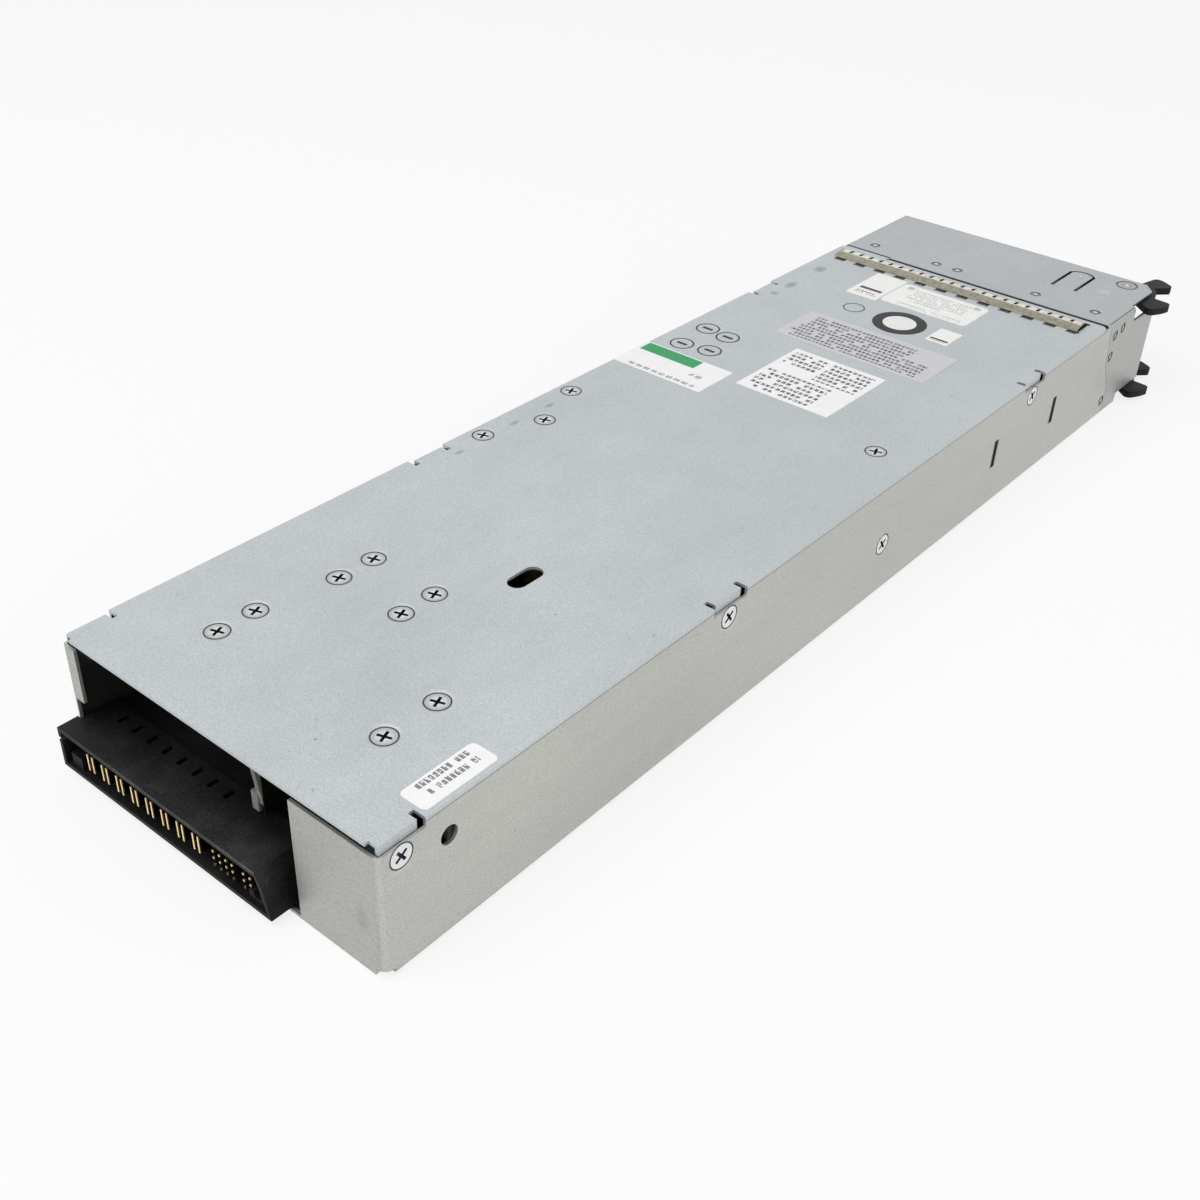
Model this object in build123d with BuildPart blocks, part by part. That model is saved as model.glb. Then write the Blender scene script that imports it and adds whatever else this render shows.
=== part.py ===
"""Plug-in switching power supply: a long flat sheet steel case with a card edge style
power connector at one end and a fan bay with an ejector lever at the other.

The origin is at the middle of the underside. X runs across the case, Y along it towards
the connector, Z is up. All sizes are in millimetres.
"""

import os
from math import cos, hypot, radians, sin

from build123d import *

os.makedirs("parts", exist_ok=True)

# Case, outside sizes
case_width = 121.0
case_length = 434.5
case_height = 42.5
sheet = 1.0
bend_radius = 1.5
end_bend_radius = 2.6
corner_relief = 2.4

# Case size for which the board's layout and the screw places below are set out; they
# spread with the case when its own size differs
layout_width = 121.0
layout_length = 434.5

half_width = case_width / 2
half_length = case_length / 2
front = -half_length
rear = half_length
wall_in = half_width - sheet
cover_under = case_height - sheet


def across(x):
    return x * case_width / layout_width


def along(y):
    return y * case_length / layout_length


def spread(spots):
    return [(across(x), along(y)) for x, y in spots]


# Clearances
fold_gap = 0.2
screw_clearance = 0.05
pin_clearance = 0.1
run_clearance = 0.05
lever_gap = 0.5

# Front section of the case
shell_top_depth = 50.6
shell_top_depth_left = 49.6
shell_high_depth = 48.4
shell_low_depth = 38.2
seam_low_height = 12.0
seam_high_height = 24.0
seam_slope_depth = 45.0
seam_gap = 0.25

# Top cover
cover_step_x = across(38.2)
cover_gap_wide = 1.4
cover_gap_narrow = 0.7
cover_corner = 3.0
tab_width = 12.0
tab_drop = 11.5
tab_bend = 2.0
tab_spots = (rear - 7.25, along(83.6), along(-103.6))
tab_relief = 1.8
tab_relief_depth = 4.0
tab_wall_notch = 3.0
cover_slot_spot = (across(-11.3), along(114.8))
cover_slot_length = 12.6
cover_slot_width = 6.0

# Countersunk case screws
screw_head_diameter = 7.4
screw_diameter = 4.0
screw_length = 7.0
recess_length = 4.2
recess_width = 0.9
recess_depth = 1.3
screw_seat_diameter = 9.2
screw_seat_depth = 0.2
recess_turn = 20
side_recess_turn = 35
side_screw_height = case_height - 6.5
side_mid_screw = (along(-3.6), 19.2)
side_screw_length = 5.6
nut_diameter = 7.0
nut_height = 2.0

# Shielding finger strip
finger_pitch = 4.7625
finger_slit = 0.9
finger_slit_length = 5.6
finger_slit_past = 0.5
strip_rear = front + 64.55
strip_front = front + 54.65
strip_thickness = 0.25
strip_rise = 1.2
strip_hook = 1.4
strip_slot_length = 4.8
strip_slot_width = 1.2
strip_slots_centre = 0.5
strip_end_margin = 2.5

# Side wall details
side_hole_diameter = 5.6
side_hole_spot = (rear - 22.25, 32.0)
side_slit_spots = (along(-79.5), along(-126.0))
side_slit_width = 1.6
side_slit_low = 16.6
side_slit_high = 27.2

# Connector end of the case
end_wall_right = 30.5
end_wall_left = 5.3
end_wall_left_low = 1.7
end_wall_step_height = 22.0

# Round clinch joints
clinch_diameter = 4.4
clinch_depth = 0.3
clinch_button = 1.8
clinch_row_depth = 41.6
clinch_row_x = (half_width - 10.1, across(20.7), across(10.8), across(-24.6), 10.3 - half_width)
clinch_side_depth = (42.35, 35.65, 42.35)
clinch_side_height = (36.0, 37.2, 27.0)
clinch_tray_spot = (40.65, 7.0)

# Lever bay and front panel
bay_left = half_width - 34.5
bay_depth = 28.75
panel_flange = 16.5

# Ejector lever
pivot_x = 12.4 - half_width
pivot_depth = 6.45
cam_radius = 20.5
cam_from = 138.0
cam_to = 256.0
mouth_angle = 200.0
mouth_half_angle = 26.0
mouth_root_reach = 12.0
mouth_root_radius = 4.8
lever_plate = 2.8
lever_end_gap = 10.1
lever_arm_width = 11.0
lever_hub = 6.6
grip_width = 9.0
grip_bulge = 4.0
horn_round = 2.2
pivot_diameter = 4.0
pivot_head = 7.0
pivot_flange_height = 1.0
side_notch_depth = 25.2
side_notch_top = 6.1
side_notch_bottom = 4.7
side_front_setback = 4.5
corner_plate_reach = 0.6
corner_cut_x = half_width - 6.5
corner_cut_depth = 8.8
floor_notch = 4.5

# Detent tongue in the front plate
tongue_x = across(-29.8)
tongue_width = 10.0
tongue_root_depth = 27.2
tongue_tip_depth = 6.2
tongue_slit = 0.9
tongue_bulge = 2.6
tongue_dimple = 1.6

# Fans, as large as the bay's width and the case's height let them be
fan_wall_gap = 2.5
fan_between = 3.0
fan_bay_gap = 4.0
fan_height_gap = 4.5
fan_rim = 1.2
fan_hole_inset = 3.0
fan_depth = 18.0
fan_hole = 3.2
fan_hub = 17.0
fan_rotor_front_gap = 0.8
fan_rotor_rear_gap = 0.6
fan_seat = 18.0
fan_blade_count = 7
fan_blade = 1.2
fan_root_chord = 10.2
fan_tip_chord = 11.9
fan_root_twist = 40
fan_tip_twist = 58
fan_tip_gap = 0.5
fan_strut = 2.6
fan_shaft = 2.0
fan_tube = 5.0
fan_base = 1.6
grille_hole = 4.2
grille_pitch = 5.0
grille_rows = 9
rivet_diameter = 3.0
rivet_head = 5.2
rivet_head_height = 1.0
rivet_tail_height = 0.8

# Supply inlet
inlet_x = half_width - 17.3
inlet_z = (case_height - 7.3) / 2
inlet_width = 28.6
inlet_height = 24.0
inlet_flange_width = 31.6
inlet_flange_height = 28.0
inlet_flange = 2.4
inlet_depth = 24.0
inlet_wall = 2.2
inlet_floor = 4.0
inlet_corner = 5.0
inlet_pin = (8.0, 2.0)
inlet_pin_spread = 6.4
inlet_pin_rise = 3.2
inlet_pin_reach = 18.0
inlet_pin_tail = 7.0
lamp_diameter = 3.0
lamp_pitch = 9.0
lamp_z = case_height - 6.2
lamp_board_gap = 2.4
lamp_board_low = lamp_z - 4.1

# Main circuit board
board_thickness = 1.6
board_underside = 3.2
board_front_depth = 67.0
board_rear_depth = 11.2
board_side_gap = 2.5
board_tongue_x = (half_width - 32.0, half_width - 4.5)
board_tongue_depth = 26.0
film = 0.4
isolation_slots = spread(((-31.0, 82.0), (34.0, 100.0)))
isolation_slot = (20.0, 2.0)
standoff_diameter = 5.5
board_screw_diameter = 3.0
board_screw_head = 5.5
board_screw_head_height = 1.6
standoff_spots = spread((
    (-52.0, -143.0), (52.0, -143.0), (-52.0, 14.0), (38.0, -48.0),
    (-52.0, 100.0), (52.0, 100.0), (-48.0, 199.0), (12.0, 112.0),
))


# Filter parts behind the inlet
choke_spots = spread(((-33.0, -124.0), (5.0, -124.0)))
choke_outer = 30.0
choke_inner = 16.0
choke_height = 14.0
choke_turns = 16
wire = 1.4
x_capacitor_spots = spread(((40.0, -134.0), (40.0, -117.0)))
x_capacitor_size = (26.0, 11.0, 20.0)
y_capacitor_row = front + 62.75
y_capacitor_spots = (
    (inlet_x - 10.2, y_capacitor_row), (inlet_x - 0.7, y_capacitor_row),
    (inlet_x + 8.8, y_capacitor_row), (across(28.0), along(-102.0)),
)
y_capacitor_diameter = 8.0
y_capacitor_thickness = 3.6
lead_diameter = 0.7
lead_radius = 1.1
fuse_spot = (inlet_x - 4.7, front + 49.25)
fuse_diameter = 6.3
fuse_length = 20.0
fuse_cap_length = 5.0
clip_reach = 4.7
clip_mouth = 5.0
fuse_lift = 2.0
surge_spot = (across(-14.0), along(-145.6))
surge_diameter = 14.0
surge_thickness = 5.0
relay_spot = (across(47.2), along(-98.0))
relay_size = (19.0, 15.5, 15.5)

# Primary side
sink_wall = 5.5
sink_top = 4.5
sink_lift = 0.4
sink_front = along(-92.0)
sink_rear = along(6.0)
sink_reach = 19.5
sink_screw_inset = 14.8
sink_screw_y = along(-17.6)
sink_fin = 1.2
sink_fins = ((11.5, 10.5), (15.5, 16.5), (19.5, 12.0))
package_size = (4.8, 15.8, 20.6)
package_lift = 4.0
package_leg_share = 0.75
primary_spots = (along(-82.0), along(-62.0), along(-42.0))
bridge_size = (4.8, 30.0, 20.0)
bridge_spot = along(-15.0)
boost_spot = (across(-16.0), along(-64.0))
boost_outer = 40.0
boost_inner = 20.0
boost_height = 20.0
boost_turns = 22
boost_wire = 1.8
film_capacitor_spots = spread(((22.0, -88.0), (22.0, -72.0)))
film_capacitor_size = (29.0, 12.0, 22.0)
bulk_middle = 2.5
bulk_pitch = 36.2
bulk_cover_gap = 2.2
bulk_front = along(-33.0)
bulk_length = 58.0
bulk_groove = 0.8

# Half bridge, transformer and resonant choke
left_sink_front = along(10.0)
left_sink_rear = along(70.0)
left_sink_reach = 15.5
left_sink_fin_drop = 18.0
left_screw_insets = (5.1, 5.1, 12.7)
left_screw_y = (along(62.2), along(18.1), along(40.3))
half_bridge_spots = (along(20.0), along(40.0), along(60.0))
transformer_spot = (across(9.0), along(66.0))
core_size = (40.0, 18.0, 30.0)
core_leg = 11.0
core_side = 6.0
core_yoke = 5.0
bobbin_wall = 1.0
bobbin_reach = 7.8
winding_reach = 7.0
resonant_spot = (across(-31.0), along(62.0))
resonant_size = (24.0, 26.0, 24.0)
resonant_window = 15.6

# Output side
output_sinks = (
    (across(31.6), along(182.3), 10.0, 24.0), (across(27.1), along(143.4), 10.0, 25.0),
    (across(1.7), along(144.0), 9.6, 25.0), (across(-32.6), along(179.8), 9.6, 28.0),
)
output_screw_pairs = ((6.4, -6.4), (6.6, -6.5), (6.4, -6.3), (-9.1, 9.0))
output_groove = (1.6, 3.0)
output_package = (10.2, 4.6, 15.6)
output_choke_spot = (across(-34.0), along(141.0))
output_choke_outer = 30.0
output_choke_inner = 15.0
output_choke_height = 15.0
output_choke_turns = 12
output_capacitor_spots = spread((
    (-50.0, 118.0), (-38.0, 118.0), (-26.0, 118.0), (-50.0, 168.0), (-50.0, 180.0),
    (48.0, 150.0), (48.0, 162.0), (48.0, 174.0), (48.0, 186.0),
))
output_capacitor_diameter = 10.0
output_capacitor_height = 24.0
bus_bar_x = (across(14.4), across(40.0))
bus_bar_size = (2.0, 73.0, 14.0)
bus_bar_front = rear - 98.25

# Power and signal connector
plug_reach = 6.6
plug_low = 2.0
plug_high = 15.3
plug_left = half_width - 0.3
plug_right = end_wall_right + 3.0 - half_width
plug_inner_left = half_width - 2.1
plug_back = rear - 12.75
plug_hood_back = rear - 22.05
plug_hood_low = 12.6
plug_foot_high = 13.8
plug_floor_depth = 16.3
plug_wall = 1.3
plug_bevel = ((plug_right + 5.0, plug_high), (plug_right + 2.5, plug_high - 4.0))
plug_slit_low = 10.6
plug_slit_high = 12.4
plug_block_left = (6.0, 4.2)
plug_block_right = (6.6, 3.1)
plug_block_groove = 1.6
blade_pitch = 6.45
blade_left = half_width - 12.7
blade_pin_gap = 5.5
blade_gap = 1.5
blade_thickness = 0.6
blade_height = 5.6
blade_z = 8.6
blade_tip_back = 0.95
blade_tail_y = rear - 17.85
blade_tail = 2.2
vent_front = rear - 9.15
vent_rear = rear - 5.55
vent_width = 1.5
vent_shift = 1.9
plug_rib = 1.2
plug_lip = 0.2
pin_columns = [plug_right + reach for reach in (23.7, 21.2, 18.7, 16.2, 11.8, 9.3)]
pin_rows = ((11.6, rear - 19.25), (9.2, rear - 17.45), (6.9, rear - 15.65))
pin_low_row = 4.5
pin_side = 0.64
pin_tip_back = 1.6

# Control card
card_x = plug_right + 19.2
card_thickness = 1.6
card_front = rear - 57.25
card_step = rear - 23.25
card_step_height = 15.6
card_rear = rear - 6.65
card_top = cover_under - 2.5
card_chip_size = (1.4, 10.0, 10.0)
card_chip_spots = ((card_front + 12.0, 12.0), (card_front + 12.0, 27.0), (card_front + 26.0, 24.0))
card_block = (2.5, 6.0, 6.0)
card_block_spot = (card_rear - 4.1, 19.0)

cone_depth = (screw_head_diameter - screw_diameter) / 2
hole_radius = screw_diameter / 2 + screw_clearance
head_radius = screw_head_diameter / 2 + screw_clearance
seat_radius = screw_seat_diameter / 2
board_top = board_underside + board_thickness
board_edge = wall_in - board_side_gap
board_front = front + board_front_depth
board_rear = rear - board_rear_depth


# Places of the countersunk screws, each in a shallow dished seat: in the cover over the
# heatsinks, and in both walls at the cover's tabs.
seat_level = half_width - screw_seat_depth
cover_screw_top = case_height - screw_seat_depth
side_screw_places = [
    Location((side * seat_level, spot, side_screw_height), (0, side * 90, 0))
    for side in (-1, 1) for spot in tab_spots
]
mid_screw_place = Location((-seat_level, *side_mid_screw), (0, -90, 0))
output_screw_spots = [
    (x, y + offset)
    for (x, y, _, _), pair in zip(output_sinks, output_screw_pairs) for offset in pair
]
left_screw_spots = [
    (half_width - inset, y) for inset, y in zip(left_screw_insets, left_screw_y)
]
sink_screw_spot = (sink_screw_inset - half_width, sink_screw_y)
cover_screw_spots = [*output_screw_spots, *left_screw_spots, sink_screw_spot]


def cut_screw_seats(depth):
    CounterSinkHole(hole_radius, head_radius, depth=depth, counter_sink_angle=90)
    Cone(
        head_radius, seat_radius, screw_seat_depth,
        align=(Align.CENTER, Align.CENTER, Align.MIN), mode=Mode.SUBTRACT,
    )


def cut_clinch_joints(places):
    """A shallow round seat with a button in its middle at each place"""
    sunk = (Align.CENTER, Align.CENTER, Align.MAX)
    with Locations(*places):
        Cylinder(clinch_diameter / 2, clinch_depth, align=sunk, mode=Mode.SUBTRACT)
        Cylinder(clinch_button / 2, clinch_depth, align=sunk)


# Base tray: floor, two side walls and the two narrow returns at the connector end,
# folded from one sheet, with the corners relieved where three folds meet.
seam_low = front + shell_low_depth
seam_mid = front + seam_slope_depth
seam_high = front + shell_high_depth

with BuildPart() as base_tray:
    with BuildSketch(Plane.XZ.offset(-rear)):
        Rectangle(case_width, cover_under, align=(Align.CENTER, Align.MIN))
        with Locations((0, sheet)):
            Rectangle(2 * wall_in, cover_under, align=(Align.CENTER, Align.MIN), mode=Mode.SUBTRACT)
    extrude(amount=case_length - shell_low_depth)
    with BuildSketch(Plane.XZ.offset(-rear)):
        with Locations((-half_width, 0)):
            Rectangle(end_wall_right, cover_under, align=Align.MIN)
        with BuildLine():
            Polyline(
                (half_width, 0), (half_width, cover_under),
                (half_width - end_wall_left, cover_under),
                (half_width - end_wall_left, end_wall_step_height),
                (half_width - end_wall_left_low, end_wall_step_height),
                (half_width - end_wall_left_low, 0),
                close=True,
            )
        make_face()
    extrude(amount=sheet)
    end_bends = base_tray.edges().filter_by(Axis.Z).filter_by_position(Axis.Y, rear, rear)
    fillet(end_bends.group_by(Axis.X)[0], end_bend_radius)
    fillet(end_bends.group_by(Axis.X)[-1], bend_radius)
    with Locations((-half_width, rear, 0), (half_width, rear, 0)):
        Box(
            2 * (end_bend_radius + sheet), 2 * (end_bend_radius + sheet), corner_relief,
            align=(Align.CENTER, Align.CENTER, Align.MIN), mode=Mode.SUBTRACT,
        )
    long_bends = base_tray.edges().filter_by(Axis.Y).filter_by_position(Axis.Z, 0, 0)
    fillet(long_bends.group_by(Axis.X)[0] + long_bends.group_by(Axis.X)[-1], bend_radius)
    # The floor stops short of the wide folded return
    with BuildSketch(Plane.XY):
        with Locations((-half_width + end_bend_radius + sheet, rear - sheet)):
            Rectangle(
                end_wall_right - end_bend_radius - sheet, fold_gap,
                align=(Align.MIN, Align.MAX),
            )
    extrude(amount=sheet, mode=Mode.SUBTRACT)
    # Slanted front edge of both walls, where the front section meets them
    with BuildSketch(Plane.YZ.offset(-half_width)):
        with BuildLine():
            Polyline(
                (seam_low - sheet, seam_low_height), (seam_low, seam_low_height),
                (seam_mid, seam_high_height), (seam_high, cover_under),
                (seam_high, case_height), (seam_low - sheet, case_height),
                close=True,
            )
        make_face()
    extrude(amount=case_width, mode=Mode.SUBTRACT)
    # Lowered wall edge behind each cover tab
    with Locations(*[(0, spot, cover_under) for spot in tab_spots]):
        Box(
            case_width, tab_width + 2 * tab_relief, tab_wall_notch - sheet,
            align=(Align.CENTER, Align.CENTER, Align.MAX), mode=Mode.SUBTRACT,
        )
    # Countersunk screw holes in both walls, and one at mid height
    with Locations(*side_screw_places, mid_screw_place):
        cut_screw_seats(2 * sheet)
    cut_clinch_joints([
        Location(
            (-half_width, front + clinch_tray_spot[0], clinch_tray_spot[1]), (0, -90, 0)
        )
    ])
    # Round hole and two tool slits in the wall on the screw side
    with BuildSketch(Plane.YZ.offset(-half_width)):
        with Locations(side_hole_spot):
            Circle(side_hole_diameter / 2)
        with Locations(
            *[(spot, (side_slit_low + side_slit_high) / 2) for spot in side_slit_spots]
        ):
            Rectangle(side_slit_width, side_slit_high - side_slit_low)
    extrude(amount=2 * sheet, mode=Mode.SUBTRACT)
base_tray.part.label = "base_tray"
export_step(base_tray.part, "parts/base_tray.step")


# Top cover: a flat plate with six tabs folded down inside the walls.
plate_rear = front + shell_top_depth
plate_rear_left = front + shell_top_depth_left
cover_front = plate_rear + cover_gap_wide
cover_front_left = plate_rear_left + cover_gap_narrow
strip_slot_pitch = 2 * finger_pitch
strip_slot_count = int((case_width - 2 * strip_end_margin) / strip_slot_pitch)
finger_count = 2 * strip_slot_count - 1

with BuildPart() as top_cover:
    with BuildSketch(Plane.XY.offset(cover_under)) as cover_outline:
        with BuildLine():
            Polyline(
                (-half_width, rear), (half_width, rear), (half_width, cover_front_left),
                (cover_step_x, cover_front_left), (cover_step_x, cover_front),
                (-half_width, cover_front), close=True,
            )
        make_face()
        front_corners = cover_outline.vertices().filter_by_position(Axis.Y, front, 0)
        fillet(
            front_corners.sort_by(Axis.X)[0:1] + front_corners.sort_by(Axis.X)[-1:], cover_corner
        )
        with Locations(cover_slot_spot):
            SlotOverall(cover_slot_length, cover_slot_width, rotation=90, mode=Mode.SUBTRACT)
        with Locations((cover_step_x, cover_front)):
            Circle(cover_gap_narrow, mode=Mode.SUBTRACT)
        with Locations(*[(side * half_width, spot) for side in (-1, 1) for spot in tab_spots]):
            Rectangle(2 * tab_relief_depth, tab_width + 2 * tab_relief, mode=Mode.SUBTRACT)
        for row in (strip_rear + strip_slot_width / 2 - pin_clearance,
                    strip_front + strip_slot_width / 2 - pin_clearance):
            with Locations((strip_slots_centre, row)):
                with GridLocations(strip_slot_pitch, 1, strip_slot_count, 1):
                    Rectangle(strip_slot_length, strip_slot_width, mode=Mode.SUBTRACT)
    extrude(amount=sheet)
    for side in (-1, 1):
        tab_face = side * (wall_in - pin_clearance)
        tab_root = side * (half_width - tab_relief_depth)
        for spot in tab_spots:
            with BuildSketch(Plane.XZ.offset(-spot - tab_width / 2)) as tab_section:
                with BuildLine():
                    Polyline(
                        (tab_root, case_height), (tab_face, case_height),
                        (tab_face, cover_under - tab_drop + sheet),
                        (tab_face - side * sheet, cover_under - tab_drop + sheet),
                        (tab_face - side * sheet, cover_under), (tab_root, cover_under),
                        close=True,
                    )
                make_face()
                fillet(
                    tab_section.vertices().filter_by(
                        lambda v: abs(v.X - tab_face) < 0.01 and v.Z > cover_under
                    ),
                    tab_bend,
                )
            extrude(amount=tab_width)
    with Locations(*[(x, y, cover_screw_top) for x, y in cover_screw_spots]):
        cut_screw_seats(2 * sheet)
    with Locations(*side_screw_places):
        cut_screw_seats(3 * sheet)
top_cover.part.label = "top_cover"
export_step(top_cover.part, "parts/top_cover.step")


# Shielding finger strip: an arched spring strip whose clips pass through both slot rows.
strip_length = finger_count * finger_pitch
strip_centre = strip_slots_centre + finger_pitch / 4
strip_mid = (strip_rear + strip_front) / 2

with BuildPart() as finger_strip:
    with BuildSketch(Plane.YZ.offset(strip_centre - strip_length / 2)):
        with BuildLine():
            lower = ThreePointArc(
                (strip_front, case_height), (strip_mid, case_height + strip_rise),
                (strip_rear, case_height),
            )
            upper = ThreePointArc(
                (strip_front, case_height + strip_thickness),
                (strip_mid, case_height + strip_rise + strip_thickness),
                (strip_rear, case_height + strip_thickness),
            )
            Line(lower @ 0, upper @ 0)
            Line(lower @ 1, upper @ 1)
        make_face()
    extrude(amount=strip_length)
    with Locations((strip_centre, strip_mid + finger_slit_past, case_height)):
        with GridLocations(finger_pitch, 1, finger_count - 1, 1):
            Box(
                finger_slit, finger_slit_length, 4 * (strip_rise + strip_thickness),
                align=(Align.CENTER, Align.MAX, Align.CENTER), mode=Mode.SUBTRACT,
            )
    # Closed rail along the front foot
    with Locations((strip_centre, strip_front, case_height)):
        Box(
            strip_length, strip_slot_width, strip_thickness,
            align=(Align.CENTER, Align.MIN, Align.MIN),
        )
    clip_width = strip_slot_length - 4 * pin_clearance
    with Locations((strip_slots_centre, strip_rear, case_height + strip_thickness)):
        with GridLocations(strip_slot_pitch, 1, strip_slot_count, 1):
            Box(
                clip_width, strip_thickness, sheet + 2 * strip_thickness,
                align=(Align.CENTER, Align.MIN, Align.MAX),
            )
    with Locations((strip_slots_centre, strip_rear, cover_under)):
        with GridLocations(strip_slot_pitch, 1, strip_slot_count, 1):
            Box(
                clip_width, strip_slot_width + strip_hook, strip_thickness,
                align=(Align.CENTER, Align.MIN, Align.MAX),
            )
    with Locations((strip_slots_centre, strip_front, case_height + strip_thickness)):
        with GridLocations(strip_slot_pitch, 1, strip_slot_count, 1):
            Box(
                clip_width, strip_thickness, 2 * sheet + strip_thickness,
                align=(Align.CENTER, Align.MIN, Align.MAX),
            )
finger_strip.part.label = "finger_strip"
export_step(finger_strip.part, "parts/finger_strip.step")


# Front section: a square sleeve of sheet steel ahead of the cover, with the detent tongue
# cut in its top and the corner opened for the lever's cams.
pivot_y = front + pivot_depth
clinch_row = front + clinch_row_depth
tongue_root = front + tongue_root_depth
tongue_tip = front + tongue_tip_depth
notch_rear = front + side_notch_depth

with BuildPart() as front_shell:
    with BuildSketch(Plane.XZ.offset(-plate_rear)) as shell_section:
        Rectangle(case_width, case_height, align=(Align.CENTER, Align.MIN))
        fillet(shell_section.vertices(), bend_radius)
        with Locations((0, sheet)):
            Rectangle(
                2 * wall_in, case_height - 2 * sheet, align=(Align.CENTER, Align.MIN),
                mode=Mode.SUBTRACT,
            )
    extrude(amount=shell_top_depth)
    # Floor and walls end at the slanted seam, the top plate runs on to the cover
    with BuildSketch(Plane.YZ.offset(-half_width)):
        with BuildLine():
            Polyline(
                (seam_low - seam_gap, -sheet), (seam_low - seam_gap, seam_low_height),
                (seam_mid - seam_gap, seam_high_height), (seam_high - seam_gap, cover_under),
                (plate_rear + sheet, cover_under), (plate_rear + sheet, -sheet),
                close=True,
            )
        make_face()
    extrude(amount=case_width, mode=Mode.SUBTRACT)
    with Locations((cover_step_x, plate_rear_left, cover_under)):
        Box(case_width, 2 * sheet, 2 * sheet, align=Align.MIN, mode=Mode.SUBTRACT)
    # Opened corner around the cams, above, below and in front of the side wall
    notch_edge = -half_width + 2 * sheet
    with Locations((notch_edge, notch_rear, case_height)):
        Box(4 * sheet, side_notch_depth, side_notch_top, align=Align.MAX, mode=Mode.SUBTRACT)
    with Locations((-half_width + floor_notch, notch_rear, side_notch_bottom)):
        Box(
            2 * floor_notch, side_notch_depth, side_notch_bottom, align=Align.MAX,
            mode=Mode.SUBTRACT,
        )
    with Locations((notch_edge, front + side_front_setback, case_height)):
        Box(4 * sheet, side_front_setback, case_height, align=Align.MAX, mode=Mode.SUBTRACT)
    with BuildSketch(Plane.XY.offset(cover_under)) as corner_plate:
        with BuildLine():
            Polyline(
                (notch_edge, notch_rear), (-half_width - corner_plate_reach, notch_rear),
                (-half_width - corner_plate_reach, front + corner_cut_depth),
                (-corner_cut_x, front), (notch_edge, front), close=True,
            )
        make_face()
    extrude(amount=sheet)
    with BuildSketch(Plane.XY.offset(cover_under)):
        with BuildLine():
            Polyline(
                (-half_width - corner_plate_reach, front + corner_cut_depth),
                (-corner_cut_x, front), (-half_width - corner_plate_reach, front),
                close=True,
            )
        make_face()
    extrude(amount=sheet, mode=Mode.SUBTRACT)
    # Detent tongue: a narrow slit that leaves the plate joined at the root
    with BuildSketch(Plane.XY.offset(cover_under)):
        with BuildLine() as tongue_line:
            far_leg = Line(
                (tongue_x + tongue_width / 2, tongue_root),
                (tongue_x + tongue_width / 2, tongue_tip + tongue_bulge),
            )
            near_leg = Line(
                (tongue_x - tongue_width / 2, tongue_tip + tongue_bulge),
                (tongue_x - tongue_width / 2, tongue_root),
            )
            ThreePointArc(far_leg @ 1, (tongue_x, tongue_tip), near_leg @ 0)
        trace(line_width=tongue_slit)
    extrude(amount=sheet, mode=Mode.SUBTRACT)
    with Locations((tongue_x, tongue_tip + tongue_bulge + tongue_dimple, cover_under)):
        Sphere(tongue_dimple)
        Box(
            4 * tongue_dimple, 4 * tongue_dimple, 4 * tongue_dimple,
            align=(Align.CENTER, Align.CENTER, Align.MAX), mode=Mode.SUBTRACT,
        )
    # Pivot holes in dished seats, top and bottom
    with Locations((pivot_x, pivot_y, case_height)):
        Cylinder(
            pivot_head / 2 + sheet, clinch_depth,
            align=(Align.CENTER, Align.CENTER, Align.MAX), mode=Mode.SUBTRACT,
        )
    with Locations((pivot_x, pivot_y, 0)):
        Cylinder(
            pivot_head / 2 + sheet, clinch_depth,
            align=(Align.CENTER, Align.CENTER, Align.MIN), mode=Mode.SUBTRACT,
        )
        Cylinder(
            pivot_diameter / 2 + screw_clearance, case_height,
            align=(Align.CENTER, Align.CENTER, Align.MIN), mode=Mode.SUBTRACT,
        )
    # Clinch joints on the top and on the wall at the lever
    cut_clinch_joints([Location((x, clinch_row, case_height)) for x in clinch_row_x])
    cut_clinch_joints([
        Location((-half_width, front + depth, height), (0, -90, 0))
        for depth, height in zip(clinch_side_depth, clinch_side_height)
    ])
front_shell.part.label = "front_shell"
export_step(front_shell.part, "parts/front_shell.step")


# Front panel: one folded sheet that closes the case beside the lever bay, steps back along
# the bay and carries the fans; its rims are clinched to the front section.
bay_back = front + bay_depth
panel_rear = bay_back + panel_flange
fan_front = bay_back + sheet
fan_rear = fan_front + fan_depth
fan_z = case_height / 2
fan_size = min(
    (bay_left + wall_in - fan_wall_gap - fan_between - fan_bay_gap) / 2,
    case_height - fan_height_gap,
)
fan_right_x = fan_wall_gap + fan_size / 2 - wall_in
fan_x = (fan_right_x + fan_size + fan_between, fan_right_x)
fan_bore = fan_size - 2 * fan_rim
hole_offset = fan_size / 2 - fan_hole_inset
fan_hole_spots = [
    (x + i * hole_offset, fan_z + k * hole_offset)
    for x in fan_x for i in (-1, 1) for k in (-1, 1)
]
grille_spots = []
for row in range(grille_rows):
    rise = (row - (grille_rows - 1) / 2) * grille_pitch * cos(radians(30))
    for column in range(grille_rows):
        run = (column - (grille_rows - 1) / 2 + 0.5 * (row % 2)) * grille_pitch
        if hypot(run, rise) < (fan_bore - grille_hole) / 2:
            grille_spots += [(x + run, fan_z + rise) for x in fan_x]

lamp_spots = [inlet_x + step * lamp_pitch for step in (-1, 0, 1)]

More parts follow.
